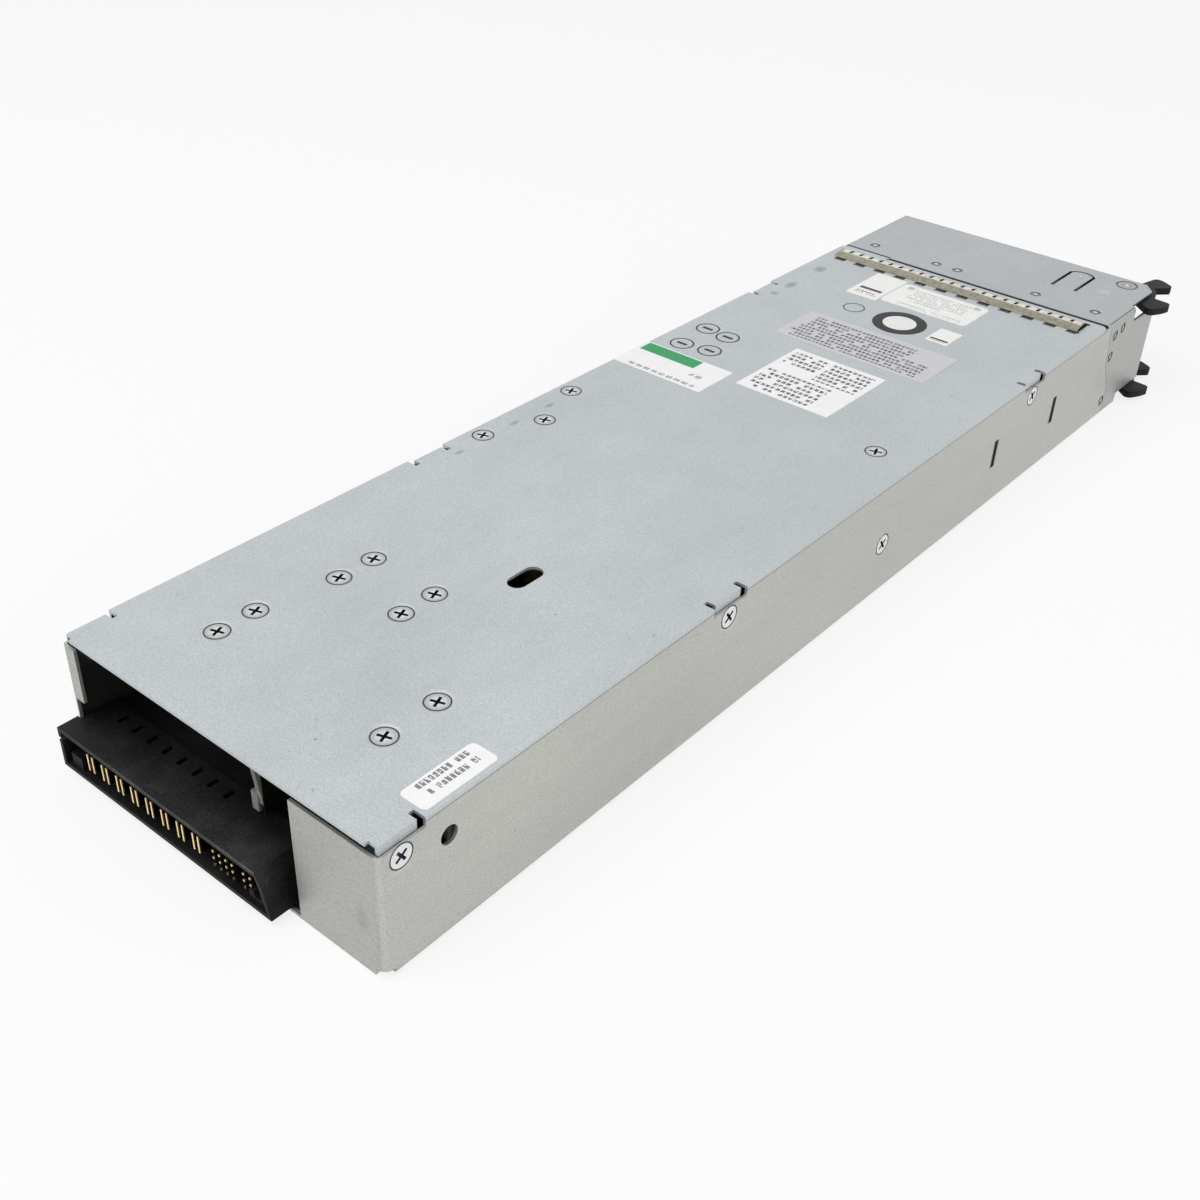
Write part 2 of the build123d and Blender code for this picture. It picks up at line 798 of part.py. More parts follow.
with BuildPart() as front_panel:
    with BuildSketch(Plane.XY.offset(sheet)):
        with BuildLine():
            Polyline(
                (wall_in, panel_rear), (wall_in, front), (bay_left, front),
                (bay_left, bay_back), (-wall_in, bay_back), (-wall_in, panel_rear),
                close=True,
            )
        make_face()
    extrude(amount=case_height - 2 * sheet)
    # Hollowed from behind, which leaves the face, the bay walls and four rims
    with BuildSketch(Plane.XY.offset(2 * sheet)):
        with BuildLine():
            Polyline(
                (wall_in - sheet, panel_rear), (wall_in - sheet, front + sheet),
                (bay_left + sheet, front + sheet), (bay_left + sheet, bay_back + sheet),
                (sheet - wall_in, bay_back + sheet), (sheet - wall_in, panel_rear),
                close=True,
            )
        make_face()
    extrude(amount=case_height - 4 * sheet, mode=Mode.SUBTRACT)
    # Air grilles and rivet holes
    with BuildSketch(Plane.XZ.offset(-fan_front)):
        with Locations(*grille_spots):
            RegularPolygon(grille_hole / 2, 6)
        with Locations(*fan_hole_spots):
            Circle(fan_hole / 2)
    extrude(amount=sheet, mode=Mode.SUBTRACT)
    # Openings for the inlet and the three lamps
    with BuildSketch(Plane.XZ.offset(-front - sheet)):
        with Locations((inlet_x, inlet_z)):
            RectangleRounded(
                inlet_width + 2 * pin_clearance, inlet_height + 2 * pin_clearance, inlet_corner
            )
        with Locations(*[(x, lamp_z) for x in lamp_spots]):
            Circle(lamp_diameter / 2 + pin_clearance)
    extrude(amount=sheet, mode=Mode.SUBTRACT)
front_panel.part.label = "front_panel"
export_step(front_panel.part, "parts/front_panel.step")


# Ejector lever: two cam plates on the vertical pivot, each with a forked end beyond the
# case corner, joined by an upright grip at the far end.
lever_arm_length = bay_left - lever_end_gap - pivot_x
lever_low = sheet + lever_gap
lever_high = cover_under - lever_gap
grip_right = pivot_x + lever_arm_length
grip_left = grip_right - grip_width
arm_half = lever_arm_width / 2

with BuildPart() as ejector_lever:
    with BuildSketch(Plane.XY.offset(lever_low)) as lever_plan:
        with BuildLine():
            cam_arc = CenterArc((pivot_x, pivot_y), cam_radius, cam_from, cam_to - cam_from)
            Polyline(cam_arc @ 1, (pivot_x, pivot_y), cam_arc @ 0)
        make_face()
        with BuildLine():
            root_arc = CenterArc(
                (pivot_x, pivot_y), mouth_root_reach,
                mouth_angle - mouth_half_angle, 2 * mouth_half_angle,
            )
            open_arc = CenterArc(
                (pivot_x, pivot_y), cam_radius + mouth_root_radius,
                mouth_angle - mouth_half_angle, 2 * mouth_half_angle,
            )
            Line(root_arc @ 0, open_arc @ 0)
            Line(root_arc @ 1, open_arc @ 1)
        make_face(mode=Mode.SUBTRACT)
        rim = [
            v for v in lever_plan.vertices()
            if hypot(v.X - pivot_x, v.Y - pivot_y) > cam_radius - lever_gap
        ]
        fillet(rim, horn_round)
        with Locations((pivot_x, pivot_y)):
            Circle(lever_hub)
            Rectangle(lever_arm_length, lever_arm_width, align=(Align.MIN, Align.CENTER))
    extrude(amount=lever_high - lever_low)
    # The space between the two plates, left solid only at the grip
    with BuildSketch(Plane.XY.offset(lever_low + lever_plate)):
        with Locations((grip_left, pivot_y)):
            Rectangle(
                4 * cam_radius + lever_arm_length, 4 * cam_radius,
                align=(Align.MAX, Align.CENTER),
            )
    extrude(amount=lever_high - lever_low - 2 * lever_plate, mode=Mode.SUBTRACT)
    with BuildSketch(Plane.XY.offset(lever_low)):
        with BuildLine():
            bow = ThreePointArc(
                (grip_left, pivot_y - arm_half),
                ((grip_left + grip_right) / 2, pivot_y - arm_half - grip_bulge),
                (grip_right, pivot_y - arm_half),
            )
            Polyline(bow @ 1, (grip_right, pivot_y), (grip_left, pivot_y), bow @ 0)
        make_face()
    extrude(amount=lever_high - lever_low)
    with Locations((pivot_x, pivot_y, lever_high)):
        Hole(pivot_diameter / 2 + run_clearance)
ejector_lever.part.label = "ejector_lever"
export_step(ejector_lever.part, "parts/ejector_lever.step")


# Two shouldered rivets carry the lever, one in the top plate and one in the floor.
with BuildPart() as lever_pivots:
    with Locations((pivot_x, pivot_y, case_height)):
        Cylinder(
            pivot_head / 2, clinch_depth, align=(Align.CENTER, Align.CENTER, Align.MAX)
        )
        Cylinder(
            pivot_diameter / 2, case_height - lever_high + lever_plate + run_clearance,
            align=(Align.CENTER, Align.CENTER, Align.MAX),
        )
    with Locations((pivot_x, pivot_y, lever_high - lever_plate - run_clearance)):
        Cylinder(
            pivot_head / 2, pivot_flange_height,
            align=(Align.CENTER, Align.CENTER, Align.MAX),
        )
    mirror(about=Plane.XY.offset(case_height / 2))
lever_pivots.part.label = "lever_pivots"
export_step(lever_pivots.part, "parts/lever_pivots.step")


# Fans: a square frame with three struts and a bearing tube, and a rotor with twisted
# blades on a hub cup whose shaft runs in the tube.
rotor_front = fan_front + fan_rotor_front_gap
rotor_rear = fan_rear - fan_base - fan_rotor_rear_gap
rotor_middle = (rotor_front + rotor_rear) / 2
blade_tip_radius = fan_bore / 2 - fan_tip_gap
hub_radius = fan_hub / 2

for place, x in (("left", fan_x[0]), ("right", fan_x[1])):
    with BuildPart() as fan_frame:
        with BuildSketch(Plane.XZ.offset(-fan_rear)):
            with Locations((x, fan_z)):
                RectangleRounded(fan_size, fan_size, 2 * bend_radius)
                Circle(fan_bore / 2, mode=Mode.SUBTRACT)
            with Locations(*[(x + i * hole_offset, fan_z + k * hole_offset)
                             for i in (-1, 1) for k in (-1, 1)]):
                Circle(fan_hole / 2, mode=Mode.SUBTRACT)
        extrude(amount=fan_depth)
        with BuildSketch(Plane.XZ.offset(-fan_rear)):
            with Locations((x, fan_z)):
                Circle(fan_seat / 2)
                with PolarLocations(fan_bore / 4, 3, 90):
                    Rectangle(fan_bore / 2 + sheet, fan_strut)
        extrude(amount=fan_base)
        with BuildSketch(Plane.XZ.offset(-fan_rear)):
            with Locations((x, fan_z)):
                Circle(fan_tube / 2)
        extrude(amount=fan_depth - 4 * sheet)
        with BuildSketch(Plane.XZ.offset(-fan_rear)):
            with Locations((x, fan_z)):
                Circle(fan_shaft / 2 + run_clearance)
        extrude(amount=fan_depth, mode=Mode.SUBTRACT)
    fan_frame.part.label = f"fan_frame_{place}"
    export_step(fan_frame.part, f"parts/fan_frame_{place}.step")

    with BuildPart() as fan_rotor:
        for index in range(fan_blade_count):
            angle = radians(90 + index * 360 / fan_blade_count)
            spoke = (cos(angle), 0, sin(angle))
            root, tip = [
                Plane(
                    origin=(x + r * spoke[0], rotor_middle, fan_z + r * spoke[2]),
                    x_dir=(0, 1, 0), z_dir=spoke,
                )
                for r in (hub_radius - sheet, blade_tip_radius + sheet)
            ]
            with BuildSketch(root):
                Rectangle(fan_root_chord, fan_blade, rotation=fan_root_twist)
            with BuildSketch(tip):
                Rectangle(fan_tip_chord, fan_blade, rotation=fan_tip_twist)
            loft()
        with BuildSketch(Plane.XZ.offset(-rotor_rear)):
            with Locations((x, fan_z)):
                Circle(blade_tip_radius)
        extrude(amount=rotor_rear - rotor_front, mode=Mode.INTERSECT)
        with BuildSketch(Plane.XZ.offset(-rotor_rear)):
            with Locations((x, fan_z)):
                Circle(hub_radius)
        extrude(amount=rotor_rear - rotor_front)
        hub_face = fan_rotor.faces().filter_by(Axis.Y).sort_by(Axis.Y)[0]
        chamfer(hub_face.edges().filter_by(GeomType.CIRCLE), sheet)
        with BuildSketch(Plane.XZ.offset(-rotor_rear)):
            with Locations((x, fan_z)):
                Circle(hub_radius - fan_blade)
        extrude(amount=rotor_rear - rotor_front - fan_blade, mode=Mode.SUBTRACT)
        with BuildSketch(Plane.XZ.offset(-fan_rear + fan_base / 2)):
            with Locations((x, fan_z)):
                Circle(fan_shaft / 2)
        extrude(amount=fan_rear - fan_base / 2 - rotor_front - fan_blade / 2)
    fan_rotor.part.label = f"fan_rotor_{place}"
    export_step(fan_rotor.part, f"parts/fan_rotor_{place}.step")


# Long rivets through the corner holes of both fans.
with BuildPart() as fan_rivets:
    with BuildSketch(Plane.XZ.offset(-bay_back)):
        with Locations(*fan_hole_spots):
            Circle(rivet_head / 2)
    extrude(amount=rivet_head_height)
    fillet(
        fan_rivets.edges().filter_by(GeomType.CIRCLE).group_by(Axis.Y)[0],
        rivet_head_height / 2,
    )
    with BuildSketch(Plane.XZ.offset(-fan_rear)):
        with Locations(*fan_hole_spots):
            Circle(rivet_diameter / 2)
    extrude(amount=fan_depth + sheet)
    with BuildSketch(Plane.XZ.offset(-fan_rear - rivet_tail_height)):
        with Locations(*fan_hole_spots):
            Circle(fan_hole / 2 + rivet_tail_height)
    extrude(amount=rivet_tail_height)
fan_rivets.part.label = "fan_rivets"
export_step(fan_rivets.part, "parts/fan_rivets.step")


# Supply inlet: a snap-in socket body with a deep well and three flat blades.
inlet_rear = front + inlet_depth
inlet_blade_spots = (
    (inlet_x - inlet_pin_spread, inlet_z - inlet_pin_rise),
    (inlet_x + inlet_pin_spread, inlet_z - inlet_pin_rise),
    (inlet_x, inlet_z + inlet_pin_rise),
)

with BuildPart() as inlet_body:
    with BuildSketch(Plane.XZ.offset(-inlet_rear)):
        with Locations((inlet_x, inlet_z)):
            RectangleRounded(inlet_width, inlet_height, inlet_corner)
    extrude(amount=inlet_depth)
    with BuildSketch(Plane.XZ.offset(-front)):
        with Locations((inlet_x, inlet_z)):
            RectangleRounded(inlet_flange_width, inlet_flange_height, inlet_corner)
    extrude(amount=inlet_flange)
    inlet_face = inlet_body.faces().filter_by(Axis.Y).sort_by(Axis.Y)[0]
    chamfer(inlet_face.edges(), inlet_flange / 4)
    with BuildSketch(Plane.XZ.offset(-inlet_rear + inlet_floor)):
        with Locations((inlet_x, inlet_z)):
            RectangleRounded(
                inlet_width - 2 * inlet_wall, inlet_height - 2 * inlet_wall,
                inlet_corner - inlet_wall,
            )
    extrude(amount=inlet_depth + inlet_flange, mode=Mode.SUBTRACT)
    with BuildSketch(Plane.XZ.offset(-inlet_rear)):
        with Locations(*inlet_blade_spots):
            Rectangle(*inlet_pin)
    extrude(amount=inlet_floor, mode=Mode.SUBTRACT)
    # Snap ramps that grip behind the panel, above and below
    for side in (-1, 1):
        with BuildSketch(Plane.YZ.offset(inlet_x - inlet_corner)):
            with BuildLine():
                Polyline(
                    (front + sheet + pin_clearance, inlet_z + side * inlet_height / 2),
                    (front + sheet + pin_clearance, inlet_z + side * (inlet_height / 2 + sheet)),
                    (front + 5 * sheet, inlet_z + side * inlet_height / 2),
                    close=True,
                )
            make_face()
        extrude(amount=2 * inlet_corner)
inlet_body.part.label = "inlet_body"
export_step(inlet_body.part, "parts/inlet_body.step")

with BuildPart() as inlet_pins:
    with BuildSketch(Plane.XZ.offset(-inlet_rear - inlet_pin_tail)):
        with Locations(*inlet_blade_spots):
            Rectangle(*inlet_pin)
    extrude(amount=inlet_pin_tail + inlet_floor + inlet_pin_reach)
    chamfer(
        inlet_pins.faces().filter_by(Axis.Y).group_by(Axis.Y)[0].edges(), inlet_pin[1] / 4
    )
inlet_pins.part.label = "inlet_pins"
export_step(inlet_pins.part, "parts/inlet_pins.step")


# Short leads from the inlet blades down to the board.
lead_start = inlet_rear + inlet_pin_tail
lead_end = board_front - board_tongue_depth + 4 * lead_radius

with BuildPart() as inlet_leads:
    for x, z in inlet_blade_spots:
        with BuildLine() as lead_path:
            Spline(
                (x, lead_start, z), (x, lead_end, board_top),
                tangents=[(0, 1, 0), (0, 0, -1)],
            )
        with BuildSketch(Plane(origin=(x, lead_start, z), z_dir=(0, 1, 0))):
            Circle(lead_radius)
        sweep(path=lead_path.wire())
inlet_leads.part.label = "inlet_leads"
export_step(inlet_leads.part, "parts/inlet_leads.step")


# Three status lamps on a small upright board behind the panel.
lamp_board_front = front + sheet + lamp_board_gap

with BuildPart() as status_lights:
    with BuildSketch(Plane.XZ.offset(-lamp_board_front)):
        with Locations(*[(x, lamp_z) for x in lamp_spots]):
            Circle(lamp_diameter / 2)
    extrude(amount=lamp_board_front - front)
    with Locations(*[(x, front, lamp_z) for x in lamp_spots]):
        Sphere(lamp_diameter / 2)
status_lights.part.label = "status_lights"
export_step(status_lights.part, "parts/status_lights.step")

with BuildPart() as lamp_board:
    with Locations((bay_left + 3 * sheet, lamp_board_front, cover_under - sheet)):
        Box(
            wall_in - bay_left - 5 * sheet, sheet, cover_under - sheet - lamp_board_low,
            align=(Align.MIN, Align.MIN, Align.MAX),
        )
lamp_board.part.label = "lamp_board"
export_step(lamp_board.part, "parts/lamp_board.step")


# Insulating film on the floor, standoffs, main board and its screws.
with BuildPart() as insulator_film:
    with BuildSketch(Plane.XY.offset(sheet)):
        with BuildLine():
            Polyline(
                (-wall_in + sheet, panel_rear + sheet), (wall_in - sheet, panel_rear + sheet),
                (wall_in - sheet, board_rear), (sheet - wall_in, board_rear), close=True,
            )
        make_face()
        with Locations(*standoff_spots):
            Circle(standoff_diameter / 2 + 4 * pin_clearance, mode=Mode.SUBTRACT)
    extrude(amount=film)
insulator_film.part.label = "insulator_film"
export_step(insulator_film.part, "parts/insulator_film.step")

with BuildPart() as board_standoffs:
    with BuildSketch(Plane.XY.offset(sheet)):
        with Locations(*standoff_spots):
            RegularPolygon(standoff_diameter / 2, 6)
            Circle(board_screw_diameter / 2 + screw_clearance, mode=Mode.SUBTRACT)
    extrude(amount=board_underside - sheet)
board_standoffs.part.label = "board_standoffs"
export_step(board_standoffs.part, "parts/board_standoffs.step")

with BuildPart() as main_board:
    with BuildSketch(Plane.XY.offset(board_underside)):
        with BuildLine():
            Polyline(
                (-board_edge, board_front), (board_tongue_x[0], board_front),
                (board_tongue_x[0], board_front - board_tongue_depth),
                (board_tongue_x[1], board_front - board_tongue_depth),
                (board_tongue_x[1], board_front), (board_edge, board_front),
                (board_edge, board_rear), (-board_edge, board_rear), close=True,
            )
        make_face()
        with Locations(*standoff_spots):
            Circle(board_screw_diameter / 2 + screw_clearance, mode=Mode.SUBTRACT)
        # Isolation slots between the primary and the output side
        with Locations(*isolation_slots):
            SlotOverall(isolation_slot[0], isolation_slot[1], mode=Mode.SUBTRACT)
    extrude(amount=board_thickness)
main_board.part.label = "main_board"
export_step(main_board.part, "parts/main_board.step")

with BuildPart() as board_screws:
    with BuildSketch(Plane.XY.offset(board_top)):
        with Locations(*standoff_spots):
            Circle(board_screw_head / 2)
    extrude(amount=board_screw_head_height)
    with BuildSketch(Plane.XY.offset(board_top + board_screw_head_height)):
        for angle in (0, 90):
            with Locations(*standoff_spots):
                Rectangle(board_screw_head / 2, film * 2, rotation=angle)
    extrude(amount=-board_screw_head_height / 2, mode=Mode.SUBTRACT)
    with BuildSketch(Plane.XY.offset(sheet + film)):
        with Locations(*standoff_spots):
            Circle(board_screw_diameter / 2)
    extrude(amount=board_top - sheet - film)
board_screws.part.label = "board_screws"
export_step(board_screws.part, "parts/board_screws.step")


# Ring chokes: a ring core and a winding of square turns around it, standing on its turns.
ring_chokes = (
    ("line_choke", choke_spots, choke_outer, choke_inner, choke_height, choke_turns, wire),
    ("boost_choke", (boost_spot,), boost_outer, boost_inner, boost_height, boost_turns,
     boost_wire),
    ("output_choke", (output_choke_spot,), output_choke_outer, output_choke_inner,
     output_choke_height, output_choke_turns, boost_wire),
)
for name, spots, outer, inner, height, turns, gauge in ring_chokes:
    core_low = board_top + gauge
    with BuildPart() as ring_core:
        with BuildSketch(Plane.XY.offset(core_low)):
            with Locations(*spots):
                Circle(outer / 2)
                Circle(inner / 2, mode=Mode.SUBTRACT)
        extrude(amount=height)
    ring_core.part.label = f"{name}_core"
    export_step(ring_core.part, f"parts/{name}_core.step")

    with BuildPart() as ring_winding:
        with Locations(*[(x, y, core_low + height / 2) for x, y in spots]):
            with PolarLocations((outer + inner) / 4, turns):
                Box(
                    (outer - inner) / 2 + 2 * (gauge + pin_clearance), gauge,
                    height + 2 * gauge,
                )
        with Locations(*[(x, y, core_low + height / 2) for x, y in spots]):
            with PolarLocations((outer + inner) / 4, turns):
                Box(
                    (outer - inner) / 2 + 2 * pin_clearance, gauge, height,
                    mode=Mode.SUBTRACT,
                )
    ring_winding.part.label = f"{name}_winding"
    export_step(ring_winding.part, f"parts/{name}_winding.step")


# Box shaped parts that stand on the board: film capacitors and the bypass relay.
boxed_parts = (
    ("line_capacitors", x_capacitor_spots, x_capacitor_size),
    ("boost_capacitors", film_capacitor_spots, film_capacitor_size),
    ("inrush_relay", (relay_spot,), relay_size),
)
for name, spots, size in boxed_parts:
    with BuildPart() as boxed_part:
        with BuildSketch(Plane.XY.offset(board_top)):
            with Locations(*spots):
                RectangleRounded(size[0], size[1], sheet)
        extrude(amount=size[2])
        chamfer(boxed_part.faces().filter_by(Axis.Z).group_by(Axis.Z)[-1].edges(), film)
    boxed_part.part.label = name
    export_step(boxed_part.part, f"parts/{name}.step")


# Disc parts on two straight leads: safety capacitors and the surge absorber.
disc_parts = (
    ("safety_capacitors", y_capacitor_spots, y_capacitor_diameter, y_capacitor_thickness),
    ("surge_absorber", (surge_spot,), surge_diameter, surge_thickness),
)
for name, spots, diameter, thickness in disc_parts:
    disc_z = board_top + 2 * sheet + diameter / 2
    with BuildPart() as disc_part:
        for x, y in spots:
            with BuildSketch(Plane.XZ.offset(-y - thickness / 2)):
                with Locations((x, disc_z)):
                    Circle(diameter / 2)
            extrude(amount=thickness)
        fillet(disc_part.edges().filter_by(GeomType.CIRCLE), sheet)
        with BuildSketch(Plane.XY.offset(board_top)):
            with Locations(*[(x + i * diameter / 4, y) for x, y in spots for i in (-1, 1)]):
                Circle(lead_diameter / 2)
        extrude(amount=2 * sheet + diameter / 4)
    disc_part.part.label = name
    export_step(disc_part.part, f"parts/{name}.step")


# Line fuse between two clips.
fuse_z = board_top + fuse_lift + fuse_diameter / 2
clip_outer = fuse_diameter + 2 * film

with BuildPart() as line_fuse:
    with BuildSketch(Plane.YZ.offset(fuse_spot[0] - fuse_length / 2)):
        with Locations((fuse_spot[1], fuse_z)):
            Circle(fuse_diameter / 2)
    extrude(amount=fuse_length)
    with BuildSketch(Plane.YZ.offset(fuse_spot[0] - fuse_length / 2 + fuse_cap_length)):
        with Locations((fuse_spot[1], fuse_z)):
            Circle(fuse_diameter / 2)
            Circle(fuse_diameter / 2 - film, mode=Mode.SUBTRACT)
    extrude(amount=fuse_length - 2 * fuse_cap_length, mode=Mode.SUBTRACT)
line_fuse.part.label = "line_fuse"
export_step(line_fuse.part, "parts/line_fuse.step")

with BuildPart() as fuse_clips:
    for side in (-1, 1):
        clip_x = fuse_spot[0] + side * (fuse_length - fuse_cap_length) / 2
        with BuildSketch(Plane.YZ.offset(clip_x - fuse_cap_length / 3)):
            with Locations((fuse_spot[1], board_top)):
                Rectangle(
                    clip_outer, fuse_lift + clip_reach,
                    align=(Align.CENTER, Align.MIN),
                )
            with Locations((fuse_spot[1], fuse_z)):
                Circle(fuse_diameter / 2 + screw_clearance, mode=Mode.SUBTRACT)
                Rectangle(
                    clip_mouth, fuse_diameter, align=(Align.CENTER, Align.MIN),
                    mode=Mode.SUBTRACT,
                )
        extrude(amount=2 * fuse_cap_length / 3)
fuse_clips.part.label = "fuse_clips"
export_step(fuse_clips.part, "parts/fuse_clips.step")


# Side heatsinks: angle extrusions along the walls with hanging fins; the case screws hold
# them and the flat transistor packages sit against the upright leg.
sink_low = board_top + sink_lift

with BuildPart() as primary_heatsink:
    with BuildSketch(Plane.XZ.offset(-sink_rear)):
        with Locations((-wall_in, sink_low)):
            Rectangle(sink_wall, cover_under - sink_low, align=Align.MIN)
        with Locations((-wall_in, cover_under)):
            Rectangle(sink_reach, sink_top, align=(Align.MIN, Align.MAX))
        for reach, drop in sink_fins:
            with Locations((reach - wall_in, cover_under)):
                Rectangle(sink_fin, drop, align=(Align.CENTER, Align.MAX))
    extrude(amount=sink_rear - sink_front)
    with Locations((*sink_screw_spot, cover_screw_top)):
        cut_screw_seats(screw_length + fold_gap)
    with Locations(mid_screw_place):
        cut_screw_seats(side_screw_length + fold_gap)
primary_heatsink.part.label = "primary_heatsink"
export_step(primary_heatsink.part, "parts/primary_heatsink.step")

with BuildPart() as bridge_heatsink:
    with BuildSketch(Plane.XZ.offset(-left_sink_rear)):
        with Locations((wall_in, sink_low)):
            Rectangle(sink_wall, cover_under - sink_low, align=(Align.MAX, Align.MIN))
        with Locations((wall_in, cover_under)):
            Rectangle(left_sink_reach, sink_top, align=(Align.MAX, Align.MAX))
        with Locations((wall_in - left_sink_reach, cover_under)):
            Rectangle(sink_fin, left_sink_fin_drop, align=(Align.MIN, Align.MAX))
    extrude(amount=left_sink_rear - left_sink_front)
    with Locations(*[(x, y, cover_screw_top) for x, y in left_screw_spots]):
        cut_screw_seats(screw_length + fold_gap)
bridge_heatsink.part.label = "bridge_heatsink"
export_step(bridge_heatsink.part, "parts/bridge_heatsink.step")

# Flat packages with three legs against the two side heatsinks
primary_face = sink_wall - wall_in
left_face = wall_in - sink_wall
package_sets = (
    ("primary_transistors", primary_spots, primary_face, 1, package_size, 3),
    ("bridge_rectifier", (bridge_spot,), primary_face, 1, bridge_size, 4),
    ("bridge_transistors", half_bridge_spots, left_face, -1, package_size, 3),
)
for name, spots, face, side, size, legs in package_sets:
    with BuildPart() as packages:
        with Locations(*[(face + side * size[0] / 2, y, board_top + package_lift)
                         for y in spots]):
            Box(*size, align=(Align.CENTER, Align.CENTER, Align.MIN))
        with Locations(*[(face + side * size[0] / 2, y, board_top) for y in spots]):
            with GridLocations(1, size[1] * package_leg_share / (legs - 1), 1, legs):
                Box(film, sheet, package_lift, align=(Align.CENTER, Align.CENTER, Align.MIN))
    packages.part.label = name
    export_step(packages.part, f"parts/{name}.step")


# Bulk capacitors, lying along the case, with a rolled groove near the plug end.
bulk_radius = (cover_under - board_top - bulk_cover_gap) / 2
bulk_z = board_top + bulk_radius
bulk_spots = (bulk_middle - bulk_pitch / 2, bulk_middle + bulk_pitch / 2)

with BuildPart() as bulk_capacitors:
    for x in bulk_spots:
        with BuildSketch(Plane.XY.offset(bulk_z)):
            with BuildLine():
                Polyline(
                    (x, bulk_front), (x + bulk_radius - sheet, bulk_front),
                    (x + bulk_radius, bulk_front + sheet),
                    (x + bulk_radius, bulk_front + 3 * sheet),
                    (x + bulk_radius - bulk_groove, bulk_front + 4 * sheet),
                    (x + bulk_radius, bulk_front + 5 * sheet),
                    (x + bulk_radius, bulk_front + bulk_length - sheet),
                    (x + bulk_radius - sheet, bulk_front + bulk_length),
                    (x, bulk_front + bulk_length), close=True,
                )
            make_face()
        revolve(axis=Axis((x, 0, bulk_z), (0, 1, 0)))
bulk_capacitors.part.label = "bulk_capacitors"
export_step(bulk_capacitors.part, "parts/bulk_capacitors.step")


# Main transformer: a framed core, a bobbin on its middle leg and the winding on it.
trafo_x, trafo_y = transformer_spot
window_width = (core_size[0] - core_leg - 2 * core_side) / 2
window_height = core_size[2] - 2 * core_yoke
window_low = board_top + core_yoke
tube_width = core_leg + 2 * (pin_clearance + bobbin_wall)
tube_depth = core_size[1] + 2 * (pin_clearance + bobbin_wall)

with BuildPart() as transformer_core:
    with BuildSketch(Plane.XZ.offset(-trafo_y - core_size[1] / 2)):
        with Locations((trafo_x, board_top)):
            Rectangle(core_size[0], core_size[2], align=(Align.CENTER, Align.MIN))
        with Locations((trafo_x, window_low + window_height / 2)):
            with GridLocations(core_leg + window_width, 1, 2, 1):
                Rectangle(window_width, window_height, mode=Mode.SUBTRACT)
    extrude(amount=core_size[1])
transformer_core.part.label = "transformer_core"
export_step(transformer_core.part, "parts/transformer_core.step")

with BuildPart() as transformer_bobbin:
    with BuildSketch(Plane.XY.offset(window_low)):
        with Locations(transformer_spot):
            Rectangle(tube_width, tube_depth)
    extrude(amount=window_height)
    for low in (window_low, window_low + window_height - bobbin_wall):
        with BuildSketch(Plane.XY.offset(low)):
            with Locations(transformer_spot):
                RectangleRounded(
                    core_leg + 2 * bobbin_reach, core_size[1] + 2 * bobbin_reach, sheet
                )
        extrude(amount=bobbin_wall)
    with BuildSketch(Plane.XY.offset(window_low)):
        with Locations(transformer_spot):
            Rectangle(core_leg + 2 * pin_clearance, core_size[1] + 2 * pin_clearance)
    extrude(amount=window_height, mode=Mode.SUBTRACT)
transformer_bobbin.part.label = "transformer_bobbin"
export_step(transformer_bobbin.part, "parts/transformer_bobbin.step")

with BuildPart() as transformer_winding:
    with BuildSketch(Plane.XY.offset(window_low + bobbin_wall)):
        with Locations(transformer_spot):
            RectangleRounded(
                core_leg + 2 * winding_reach, core_size[1] + 2 * winding_reach, 3 * sheet
            )
            Rectangle(tube_width, tube_depth, mode=Mode.SUBTRACT)
    extrude(amount=window_height - 2 * bobbin_wall)
transformer_winding.part.label = "transformer_winding"
export_step(transformer_winding.part, "parts/transformer_winding.step")


# Resonant choke: a square pot core with its winding showing in the open sides.
with BuildPart() as resonant_choke:
    with BuildSketch(Plane.XY.offset(board_top)):
        with Locations(resonant_spot):
            Rectangle(resonant_size[0], resonant_size[1])
    extrude(amount=resonant_size[2])
    with BuildSketch(Plane.XY.offset(board_top + core_yoke)):
        with Locations(resonant_spot):
            with GridLocations(resonant_size[0], 1, 2, 1):
                Rectangle(core_yoke, resonant_window)
    extrude(amount=resonant_size[2] - 2 * core_yoke, mode=Mode.SUBTRACT)
resonant_choke.part.label = "resonant_choke"
export_step(resonant_choke.part, "parts/resonant_choke.step")


# Output heatsinks: grooved blocks that stand on the board under the cover screws, with a
# flat rectifier package against one side of each.
with BuildPart() as output_heatsinks:
    for x, y, width, length in output_sinks:
        with BuildSketch(Plane.XY.offset(board_top)):
            with Locations((x, y)):
                Rectangle(width, length)
        extrude(amount=cover_under - board_top)
        groove, depth = output_groove
        for level in range(3):
            groove_z = board_top + output_package[2] + 2 * package_lift + level * 2 * groove
            with Locations((x, y, groove_z)):
                with GridLocations(width, 1, 2, 1):
                    Box(2 * depth - 2 * sheet, length, groove, mode=Mode.SUBTRACT)
    with Locations(*[(x, y, cover_screw_top) for x, y in output_screw_spots]):
        cut_screw_seats(screw_length + fold_gap)
output_heatsinks.part.label = "output_heatsinks"
export_step(output_heatsinks.part, "parts/output_heatsinks.step")

with BuildPart() as output_rectifiers:
    for (x, y, width, length), side in zip(output_sinks, (-1, -1, 1, 1)):
        body_x = x + side * (width / 2 + output_package[1] / 2)
        with Locations((body_x, y, board_top + package_lift)):
            Box(
                output_package[1], output_package[0], output_package[2],
                align=(Align.CENTER, Align.CENTER, Align.MIN),
            )
        with Locations((body_x, y, board_top)):
            with GridLocations(1, output_package[0] / 4, 1, 3):
                Box(film, sheet, package_lift, align=(Align.CENTER, Align.CENTER, Align.MIN))
output_rectifiers.part.label = "output_rectifiers"
export_step(output_rectifiers.part, "parts/output_rectifiers.step")

